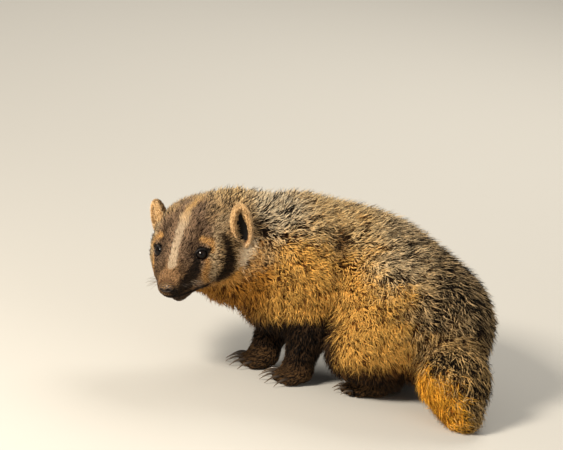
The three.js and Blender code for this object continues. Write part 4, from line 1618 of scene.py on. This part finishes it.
@dataclass
class Coat:
    """The coat over the skin, in one piece for each region."""

    ground: Ground
    draw: np.random.Generator = field(default_factory=lambda: np.random.default_rng(RNG_SEED))

    def thickness(self, points: Array, normals: Array) -> Array:
        """How thickly tufts stand: none in the eyes' openings or the mouth, fewer underneath.

        Args:
            points: rows of x, y, z in mm.
            normals: outward normals there.

        Returns:
            One weight for each point.
        """
        weight = np.where(eye_gap(points) < 6.0, 0, 1.0)
        for side in SIDES.values():
            local = (points - HEAD.eye_centre(side)) @ eye_plane(side).T
            spread = np.hypot(local[:, 0] / (EYE_OPEN[0] + 1.6), local[:, 1] / (EYE_OPEN[1] + 1.6))
            weight = np.where((spread < 1) & (local[:, 2] > 0), 0, weight)
            local = (points - HEAD.ear_centre(side)) @ HEAD.ear_axes(side).T
            spread = np.hypot(local[:, 0] / 12, (local[:, 1] + 1) / 28)
            weight = np.where((spread < 1) & (np.abs(local[:, 2] - 5) < 17), 0, weight)
        local = HEAD.local(points)
        nose = np.linalg.norm((local - vec(46, 0, -15)) / vec(8.5, 10, 7.6), axis=1)
        weight = np.where(nose < 1, 0, weight)
        weight = weight * np.where(np.abs(mouth_line(local)) < 0.9, 0, 1)
        weight = weight * (0.35 + 0.65 * smooth(-0.95, -0.4, normals[:, 2]))
        return weight * np.where(points[:, 2] < 1.2, 0, 1)

    def build(self, shop: Workshop) -> None:
        """Grows all the pieces.

        Args:
            shop: where finished pieces are entered.
        """
        thing = self.ground.thing
        points = read_points(thing)
        shares = ANATOMY.shares(points)
        _, normals = ANATOMY.form.level(points)
        weight = self.thickness(points, normals)
        owner = region_of(points, shares)
        starts = np.zeros(len(thing.data.polygons), np.int32)
        thing.data.polygons.foreach_get("loop_start", starts)
        corners = np.zeros(len(thing.data.loops), np.int32)
        thing.data.loops.foreach_get("vertex_index", corners)
        face_owner = owner[corners[starts]]
        for number, region in enumerate(Region):
            name, count = region.value
            wanted = face_owner == number
            self.ground.unwrap(wanted)
            roots = self.ground.scatter(wanted, weight, count, self.draw)
            shop.finish(self.piece(name, roots), FUR, "body_fur")

    def piece(self, name: str, roots: Roots) -> bpy.types.Object:
        """Sizes, colours and grows one region's tufts: under hair, clumped over hair and long guard hair.

        Args:
            name: the piece's name.
            roots: where its tufts grow.

        Returns:
            The coat piece.
        """
        draw, points = self.draw, roots.points
        count = len(points)
        shares = ANATOMY.shares(points)
        _, normals = ANATOMY.form.level(points)
        f = HEAD.local(points)[:, 0]
        depth = coat_depth(points, shares)
        furry = np.clip(depth / 9, 0.12, 1)
        centre, key = clumps(points, 8.5, 1)
        _, fine_key = clumps(points, 2.4, 5)
        kind = draw.random(count)
        under, guard = kind < 0.3 * furry, kind > 1 - 0.13 * furry
        length = by_part(shares, LENGTHS, np.interp(f, HEAD_F, HEAD_LENGTH))
        length = length * (0.45 + 0.55 * smooth(7, 16, eye_gap(points))) * draw.uniform(0.7, 1.2, count)
        length = length * np.where(under, 0.62, np.where(guard, 1.2, 1))
        width = by_part(shares, WIDTHS, np.interp(f, HEAD_F, HEAD_WIDTH))
        width = width * draw.uniform(0.75, 1.25, count)
        width = width * np.where(under, 1.25, np.where(guard, 0.75, 1))
        stand = 0.08 + ((key * 7.3) % 1 - 0.5) * 0.4 + draw.normal(0, 0.13, count)
        stand = np.where(under, draw.uniform(-0.6, -0.25, count), stand)
        stand = np.where(guard, draw.uniform(0.12, 0.8, count), stand)
        veer = (key - 0.5) * 1.3 * furry + (fine_key - 0.5) * 0.9 * furry
        veer = veer + draw.normal(0, 0.12 + 0.25 * furry, count)
        rows = coat_colours(points, normals, draw.uniform(-1, 1, count))
        chance = mix(draw.random(count)[:, None], fine_key[:, None], 0.55 * furry)[:, 0]
        dark = (rows[:, 4, 0] > chance) | under
        dark_hair = rows[:, [0, 3, 3]] * vec(0.8, 1, 1.3)[:, None]
        colours = np.where(dark[:, None, None], dark_hair, rows[:, :3])
        light = 1 + ((key * 3.7) % 1 - 0.5) * 0.2 * furry + draw.normal(0, 0.09, count)
        colours = colours * np.clip(light, 0.5, 1.5)[:, None, None]
        shape = TuftShape(
            length=length,
            width=width,
            depth=depth,
            way=lie_of_coat(points, normals, shares),
            veer=veer + 0.3 * waves(points, 45, 8) * furry,
            curl=draw.normal(0, 0.06 + 0.32 * furry, count),
            stand=stand,
            pull=np.where(under, 0, 0.5) * furry,
            clump=centre,
        )
        return grow(name, ANATOMY.form, roots, shape, colours)


# ---------------------------------------------------------------- ears


@dataclass
class EarForm(Form):
    """The surface of one ear: an upright oval with a deep cup."""

    side: int = 1
    cup_radii: tuple = (8.2, 24, 8.5)
    cup_forward: float = 5.5
    rim_round: float = 2.0

    def distance(self, points: Array) -> Array:
        """Signed distance, where the inside of the cup counts as outside.

        Args:
            points: rows of x, y, z in mm.

        Returns:
            One distance for each point.
        """
        axes = HEAD.ear_axes(self.side)
        centre = HEAD.ear_centre(self.side)
        outer = Ball(centre, vec(*HEAD.ear_radii), axes).distance(points)
        cup = -Ball(centre + axes[2] * self.cup_forward, vec(*self.cup_radii), axes).distance(points)
        h = np.maximum(self.rim_round - np.abs(outer - cup), 0) / self.rim_round
        return np.maximum(outer, cup) + h * h * self.rim_round / 4


@dataclass
class Ear:
    """An ear: a cupped shell of skin with a thick pale rim of short fur."""

    side_name: str
    skin_depth: float = 1.6
    tufts: int = 6200

    def build(self, shop: Workshop) -> None:
        """Models the shell and its fur.

        Args:
            shop: where finished pieces are entered.
        """
        side = SIDES[self.side_name]
        form = EarForm([], side=side)
        axes, centre = HEAD.ear_axes(side), HEAD.ear_centre(side)
        shell = round_blank(f"ear_shell_{self.side_name}", 56, 36)
        fix_order(shell)
        ball = raw_points(shell)
        local = ball * (np.array(HEAD.ear_radii) - self.skin_depth)
        wide, tall, deep = form.cup_radii
        inside = (local[:, 0] / (wide + 1)) ** 2 + (local[:, 1] / (tall + 1)) ** 2
        bottom = form.cup_forward - (deep + 1) * np.sqrt(np.clip(1 - inside, 0, 1))
        opened = (local[:, 2] > 0) & (inside < 1)
        local[:, 2] = np.where(opened, np.minimum(local[:, 2], bottom), local[:, 2])
        points = centre + local @ axes
        write_points(shell, points)
        shade(shell)
        _, normals = form.level(points)
        back = 1 - smooth(-0.3, 0.3, dots(normals, axes[2]))
        # the inside of the cup is painted near black as shade in its hollow
        inner = (inside < 0.75) & (ball[:, 2] > 0)
        colours = mix(rgb(150, 112, 74), rgb(58, 42, 30), back)
        tint(shell, np.where(inner[:, None], rgb(14, 10, 8), colours))
        ground = Ground(shell)
        draw = np.random.default_rng(RNG_SEED + 3 + side)
        buried = ANATOMY.form.distance(points) < -4
        slit = np.hypot(local[:, 0] / (5.2 - 0.13 * local[:, 1]), (local[:, 1] + 3.5) / 20)
        bare = ((slit < 1) & (ball[:, 2] > 0)).astype(float)
        rim = np.exp(-(((inside - 1.1) / 0.35) ** 2)) * (ball[:, 2] > -0.2)
        weight = np.where(buried, 0, 1.0) * (1 - bare) * (1 + 1.5 * rim)
        wanted = np.ones(len(shell.data.polygons), bool)
        ground.unwrap(wanted)
        fur = self.fur(form, ground.scatter(wanted, weight, self.tufts, draw), draw, axes, centre)
        shell.data.uv_layers.remove(shell.data.uv_layers["roots"])
        shop.finish(shell, SKIN, "ear_fur", f"ear_{self.side_name}")
        shop.finish(fur, FUR, "ear_fur")

    def fur(
        self, form: Form, roots: Roots, draw: np.random.Generator, axes: Array, centre: Array
    ) -> bpy.types.Object:
        """Grows the ear's fur: up along the back, outward at the rim, and across the opening inside.

        Args:
            form: the ear's surface.
            roots: where the tufts grow.
            draw: the source of random draws.
            axes: the ear's own axes.
            centre: the middle of the ear.

        Returns:
            The fur as one piece.
        """
        points = roots.points
        count = len(points)
        _, normals = form.level(points)
        local = (points - centre) @ axes.T
        face = dots(normals, axes[2])
        radial = unit(local * vec(1, 1, 0)) @ axes
        rim = smooth(0.35, 0.9, np.hypot(local[:, 0] / 13, local[:, 1] / 26))
        rim = rim * smooth(-0.6, 0.3, face)
        way = axes[1] * 0.7 + radial * 0.8 + axes[2] * 0.2
        way = unit(way - normals * dots(way, normals)[:, None])
        colours = np.repeat(EAR_BACK.rows()[None], count, 0)
        pale = smooth(-0.55, 0.0, face + 0.1 * draw.normal(size=count))
        colours = paint(colours, EAR_RIM, np.clip(pale + rim, 0, 1))
        low = 1 - smooth(-18, -6, local[:, 1])
        colours = paint(colours, CREAM, low * pale * 0.3)
        dark = colours[:, 4, 0] > draw.random(count)
        colours = np.where(dark[:, None, None], colours[:, [0, 3, 3]], colours[:, :3])
        colours = colours * np.clip(1 + draw.normal(0, 0.1, count), 0.6, 1.4)[:, None, None]
        shape = TuftShape(
            length=5.6 * draw.uniform(0.7, 1.2, count),
            width=0.72 * draw.uniform(0.8, 1.2, count),
            depth=np.full(count, self.skin_depth),
            way=way,
            veer=draw.normal(0, 0.3, count),
            curl=draw.normal(0, 0.15, count),
            stand=draw.uniform(-0.2, 1.1, count),
            pull=np.full(count, 0.2),
            clump=clumps(points, 3.5, 2)[0],
        )
        return grow(f"coat_ear_{self.side_name}", form, roots, shape, colours)


# ---------------------------------------------------------------- eyes


# round the lid's section: the share of the opening's angle, and how far out, for an eye of HEAD's radius
LID_PROFILE = (
    (0.99, 6.3),
    (0.98, 6.7),
    (1.02, 7.0),
    (1.08, 7.15),
    (1.16, 7.1),
    (1.26, 6.8),
    (1.3, 6.4),
    (1.2, 6.1),
    (1.08, 6.1),
)


@dataclass
class Eye:
    """An eyeball with its iris and a pair of lids.

    The opening is half its width and half its height, as degrees round the ball.
    """

    side_name: str
    opening: tuple = (68, 57)
    cornea: float = 0.5
    radius: float = 7.1
    lid_steps: int = 72
    lid_wrinkle: float = 0.12

    def build(self, shop: Workshop) -> None:
        """Models the ball and the lids.

        Args:
            shop: where finished pieces are entered.
        """
        side = SIDES[self.side_name]
        centre, axes = HEAD.eye_centre(side), eye_plane(side)
        self.ball(centre, axes, shop)
        self.lids(centre, axes, shop)

    def ball(self, centre: Array, axes: Array, shop: Workshop) -> None:
        """The ball, with a bulging cornea over the dark iris.

        Args:
            centre: the middle of the ball.
            axes: across it, up it, and the way it looks.
            shop: where finished pieces are entered.
        """
        thing = round_blank(f"eyeball_{self.side_name}", 64, 48)
        way = raw_points(thing)
        angle = np.degrees(np.arccos(np.clip(way[:, 2], -1, 1)))
        bulge = self.cornea * (1 - smooth(0, 42, angle))
        write_points(thing, centre + (way * (self.radius + bulge)[:, None]) @ axes)
        shade(thing)
        iris = smooth(17, 21, angle) * (1 - smooth(38, 43, angle))
        tint(thing, mix(rgb(4, 3, 3), rgb(20, 13, 9), iris))
        shop.finish(thing, EYE, "eye_glass", f"eye_{self.side_name}")

    def lids(self, centre: Array, axes: Array, shop: Workshop) -> None:
        """A closed ring of lid round the opening, thick at its rim and sunk at its outer edge.

        Args:
            centre: the middle of the ball.
            axes: across it, up it, and the way it looks.
            shop: where finished pieces are entered.
        """
        steps = self.lid_steps
        turn = np.arange(steps) * 2 * math.pi / steps
        wide, tall = self.opening
        rim = 1 / np.sqrt((np.cos(turn) / wide) ** 2 + (np.sin(turn) / tall) ** 2)
        rim = rim * (1 + 0.1 * np.abs(np.cos(turn)) ** 8)
        rings = []
        for share, radius in LID_PROFILE:
            angle = np.radians(np.minimum(rim * share, 92))
            way = np.stack([np.sin(angle) * np.cos(turn), np.sin(angle) * np.sin(turn), np.cos(angle)], 1)
            radius = radius * self.radius / HEAD.eye_radius
            wrinkled = radius + self.lid_wrinkle * np.sin(turn * 9 + share * 5)
            rings.append(centre + way @ axes * wrinkled[:, None])
        points = np.concatenate(rings)
        faces = []
        for ring in range(len(LID_PROFILE)):
            after = (ring + 1) % len(LID_PROFILE)
            for s in range(steps):
                t = (s + 1) % steps
                faces.append([ring * steps + s, after * steps + s, after * steps + t, ring * steps + t])
        thing = mesh_object(f"eyelids_{self.side_name}", points, [np.array(faces)])
        outward(thing)
        shop.finish(thing, LID_SKIN, "dark_fur")


def outward(thing: bpy.types.Object) -> None:
    """Turns a closed mesh's faces outwards.

    Args:
        thing: the object.
    """
    work = bmesh.new()
    work.from_mesh(thing.data)
    bmesh.ops.recalc_face_normals(work, faces=work.faces)
    work.to_mesh(thing.data)
    work.free()


# ---------------------------------------------------------------- nose, claws and whiskers


@dataclass
class Nose:
    """The nose leather, with two comma-shaped nostrils and the groove between them."""

    centre: tuple = (46, 0, -15)
    radii: tuple = (6.9, 9.4, 5.8)

    def build(self, shop: Workshop) -> None:
        """Models the pad.

        Args:
            shop: where finished pieces are entered.
        """
        thing = round_blank("nose_leather", 88, 60)
        local = raw_points(thing)[:, [2, 0, 1]] * np.array(self.radii)
        f, l, u = local.T
        local[:, 1] *= 1 - 0.22 * smooth(0, -7, u)
        front = smooth(1.0, 5.0, f)
        for s in SIDES.values():
            hole = np.hypot((l - 3.9 * s) / 2.0, (u + 0.4) / 1.7)
            slit = np.hypot((l - 7.0 * s) / 2.6, (u + 1.6 + 0.3 * (np.abs(l) - 7)) / 0.9)
            pit = 3.6 * np.exp(-(hole**4)) * front + 1.6 * np.exp(-(slit**2)) * smooth(-2, 1, f)
            rim = 0.45 * np.exp(-(((hole - 1.35) / 0.3) ** 2)) * front
            local[:, 0] += rim - pit
        local[:, 0] -= 0.9 * np.exp(-((l / 0.7) ** 2)) * smooth(2.5, -1.5, u) * front
        write_points(thing, HEAD.at(0, 0, 0) + (local + np.array(self.centre)) @ HEAD.axes())
        shade(thing)
        outward(thing)
        hole = np.min([np.hypot((l - 4.2 * s) / 3.2, (u + 0.6) / 2.6) for s in SIDES.values()], axis=0)
        dust = smooth(-0.1, 0.9, waves(local, 1.7, 31) + 0.7 * waves(local, 0.8, 32))
        tint(thing, mix(rgb(34, 24, 18), rgb(136, 100, 54), dust * smooth(0.9, 1.5, hole)))
        shop.finish(thing, NOSE_SKIN, "nose_leather", "nose")


def tube(points: Array, radii: Array, sides: int, squeeze: float = 1.0) -> tuple[Array, Array, Array]:
    """A round closed tube through points.

    Args:
        points: the middle of each ring.
        radii: the radius at each.
        sides: corners on a ring.
        squeeze: width across, as a share of the height.

    Returns:
        The vertices, the four-sided faces and the end faces.
    """
    along = unit(np.gradient(points, axis=0))
    across = unit(np.cross(along, vec(0, 0, 1)))
    up = np.cross(across, along)
    turn = np.arange(sides) * 2 * math.pi / sides
    rings = points[:, None] + radii[:, None, None] * (
        np.cos(turn)[None, :, None] * across[:, None] * squeeze + np.sin(turn)[None, :, None] * up[:, None]
    )
    vertices = np.concatenate([rings.reshape(-1, 3), points[:1], points[-1:]])
    first, last = len(vertices) - 2, len(vertices) - 1
    quads, ends = [], []
    for s in range(sides):
        t = (s + 1) % sides
        for ring in range(len(points) - 1):
            quads.append([ring * sides + s, ring * sides + t, (ring + 1) * sides + t, (ring + 1) * sides + s])
        ends.append([first, t, s])
        ends.append([last, (len(points) - 1) * sides + s, (len(points) - 1) * sides + t])
    return vertices, np.array(quads), np.array(ends)


def joined(name: str, parts: list) -> bpy.types.Object:
    """One object from many closed tubes.

    Args:
        name: the object's name.
        parts: the vertices, four-sided faces and end faces of each tube.

    Returns:
        The object.
    """
    points, quads, ends, count = [], [], [], 0
    for vertices, four, three in parts:
        points.append(vertices)
        quads.append(four + count)
        ends.append(three + count)
        count += len(vertices)
    thing = mesh_object(name, np.concatenate(points), [np.concatenate(quads), np.concatenate(ends)])
    outward(thing)
    return thing


@dataclass
class Claws:
    """The claws of one paw: long, curved and flattened from side to side."""

    name: str
    paw: Paw
    leg: Foreleg | Hindleg
    radius: float = 2.1
    rings: int = 11
    corners: int = 12
    flatness: float = 0.72

    def build(self, shop: Workshop) -> None:
        """Models five claws.

        Args:
            shop: where finished pieces are entered.
        """
        parts, shades = [], []
        t = np.linspace(0, 1, self.rings)
        for toe in TOES:
            out = toe * self.paw.width * 0.21
            forward = self.paw.length * (0.4 - 0.045 * toe * toe) - 3
            root = self.paw.at(self.leg, forward, out, self.paw.width * 0.19)
            aim = self.paw.at(self.leg, forward + 10, out * 1.25, self.paw.width * 0.19)
            length = self.paw.claw + 3
            rise = 0.10 * length * np.sin(math.pi * t) - 0.30 * length * t * t
            path = root + unit(aim - root) * (length * t)[:, None] + vec(0, 0, 1) * rise[:, None]
            radii = self.radius * (1 - 0.88 * t**1.4)
            path[:, 2] = np.maximum(path[:, 2], radii + FLOOR_GAP)
            parts.append(tube(path, radii, self.corners, self.flatness))
            ring_shade = mix(rgb(30, 22, 17), rgb(92, 74, 54), t**1.5)
            around = np.repeat(ring_shade, self.corners, 0)
            shades.append(np.concatenate([around, ring_shade[:1], ring_shade[-1:]]))
        thing = joined(f"claws_{self.name}", parts)
        tint(thing, np.concatenate(shades))
        shop.finish(thing, HORN, "dark_fur")


@dataclass
class Whiskers:
    """Stiff hairs on the lips and over the eyes.

    Each bed is the two ends of a row in the head's axes, how many hairs it has and their length.
    """

    seed: int = 41
    rings: int = 8
    corners: int = 5
    radius: float = 0.16
    beds: tuple = (((38, 13, -17), (20, 22, -21), 16, 20), ((-4, 27, 17), (-8, 33, 13), 4, 13))

    def build(self, shop: Workshop) -> None:
        """Models all the whiskers as one piece.

        Args:
            shop: where finished pieces are entered.
        """
        draw = np.random.default_rng(self.seed)
        parts, shades = [], []
        for s in SIDES.values():
            for start, end, count, length in self.beds:
                for _ in range(count):
                    share = draw.random()
                    local = vec(*start) * (1 - share) + vec(*end) * share + draw.normal(0, 1.4, 3)
                    root = HEAD.at(local[0], local[1] * s, local[2])
                    root = ANATOMY.form.settle(root[None], np.array([1.5]))[0]
                    way = vec(0.1 + 0.3 * share, 1.0, -0.12) * vec(1, s, 1)
                    way = unit(way + draw.normal(0, 0.16, 3)) @ HEAD.axes()
                    size = length * draw.uniform(0.55, 1.0)
                    t = np.linspace(0, 1, self.rings)
                    bend = HEAD.axes()[0] * -0.32 + vec(0, 0, -0.25)
                    path = root + way * (size * t)[:, None] + bend * (size * t * t)[:, None]
                    parts.append(tube(path, self.radius * (1 - 0.8 * t), self.corners))
                    shade = rgb(128, 110, 88) if draw.random() < 0.5 else rgb(60, 46, 34)
                    shades.append(np.repeat(shade[None], len(parts[-1][0]), 0))
        thing = joined("whiskers", parts)
        tint(thing, np.concatenate(shades))
        shop.finish(thing, WHISKER, "face_fur")


# ---------------------------------------------------------------- stage


@dataclass
class Studio:
    """A plain pale floor, soft lights and the camera at the photo's angle."""

    elevation: float = 16
    roll: float = 9
    distance: float = 5.0
    width: float = 0.64745
    target: tuple = (-63, -20, 172.3)
    sensor: float = 36
    lamps: tuple = (
        ("key_light", (-1.2, -1.35, 1.45), 84, 0.5, (1.0, 0.9, 0.76)),
        ("fill_light", (1.6, -1.4, 1.0), 9, 1.6, (1.0, 0.95, 0.88)),
        ("back_light", (0.5, 1.7, 1.7), 34, 0.9, (1.0, 0.94, 0.84)),
    )

    def floor(self) -> None:
        """A wide pale floor."""
        bpy.ops.mesh.primitive_plane_add(size=12)
        floor = bpy.context.active_object
        floor.name = "floor"
        made = bpy.data.materials.new("pale_floor")
        made.use_nodes = True
        shader = made.node_tree.nodes["Principled BSDF"]
        shader.inputs["Base Color"].default_value = (0.5, 0.49, 0.46, 1)
        shader.inputs["Roughness"].default_value = 0.9
        floor.data.materials.append(made)

    def lamp(self, name: str, place: tuple, power: float, size: float, colour: tuple) -> None:
        """A soft square light that faces the model.

        Args:
            name: the light's name.
            place: x, y, z in m.
            power: watts.
            size: the length of a side, in m.
            colour: its linear colour.
        """
        bpy.ops.object.light_add(type="AREA", location=place)
        lamp = bpy.context.active_object
        lamp.name = name
        lamp.data.energy, lamp.data.size, lamp.data.color = power, size, colour
        lamp.rotation_mode = "QUATERNION"
        lamp.rotation_quaternion = (Vector((0, 0, 0.1)) - Vector(place)).to_track_quat("-Z", "Y")

    def build(self) -> None:
        """Sets up the floor, the lights, the surroundings and the camera."""
        self.floor()
        for name, place, power, size, colour in self.lamps:
            self.lamp(name, place, power, size, colour)
        world = bpy.data.worlds.new("soft_room")
        bpy.context.scene.world = world
        world.use_nodes = True
        room = world.node_tree.nodes["Background"]
        room.inputs["Color"].default_value = (0.92, 0.87, 0.8, 1)
        room.inputs["Strength"].default_value = 0.36
        bpy.context.scene.view_settings.view_transform = "Standard"
        self.camera()

    def camera(self) -> None:
        """Sets up the camera at the photo's angle, far off and with a long lens."""
        elevation = math.radians(self.elevation)
        target = Vector((np.array(self.target) - CENTRE) * MM)
        back = Vector((0, -math.cos(elevation), math.sin(elevation)))
        bpy.ops.object.camera_add(location=target + back * self.distance)
        camera = bpy.context.active_object
        camera.name = "photo_camera"
        camera.rotation_mode = "QUATERNION"
        turn = Matrix.Rotation(math.radians(self.roll), 4, "Z")
        look = (-back).to_track_quat("-Z", "Y").to_matrix().to_4x4()
        camera.matrix_world = Matrix.Translation(target + back * self.distance) @ look @ turn
        camera.data.sensor_width = self.sensor
        camera.data.lens = self.sensor * self.distance / self.width
        camera.data.clip_end = 50
        bpy.context.scene.camera = camera


def main() -> None:
    """Builds the badger on its frame."""
    logging.basicConfig(level=logging.INFO, format="%(name)s %(message)s", stream=sys.stdout)
    shop = Workshop()
    skin = Skin()
    skin.build()
    ground = Ground(skin.thing)
    Coat(ground).build(shop)
    skin.thing.data.uv_layers.remove(skin.thing.data.uv_layers["roots"])
    skin.dress(shop)
    for side in SIDES:
        Ear(side).build(shop)
        Eye(side).build(shop)
        Claws(f"forepaw_{side}", FOREPAW, FORELEGS[side]).build(shop)
        Claws(f"hindpaw_{side}", HINDPAW, HINDLEGS[side]).build(shop)
    Nose().build(shop)
    Whiskers().build(shop)
    Studio().build()
    LOG.info("%d pieces", len(shop.pieces))


if __name__ == "__main__":
    main()
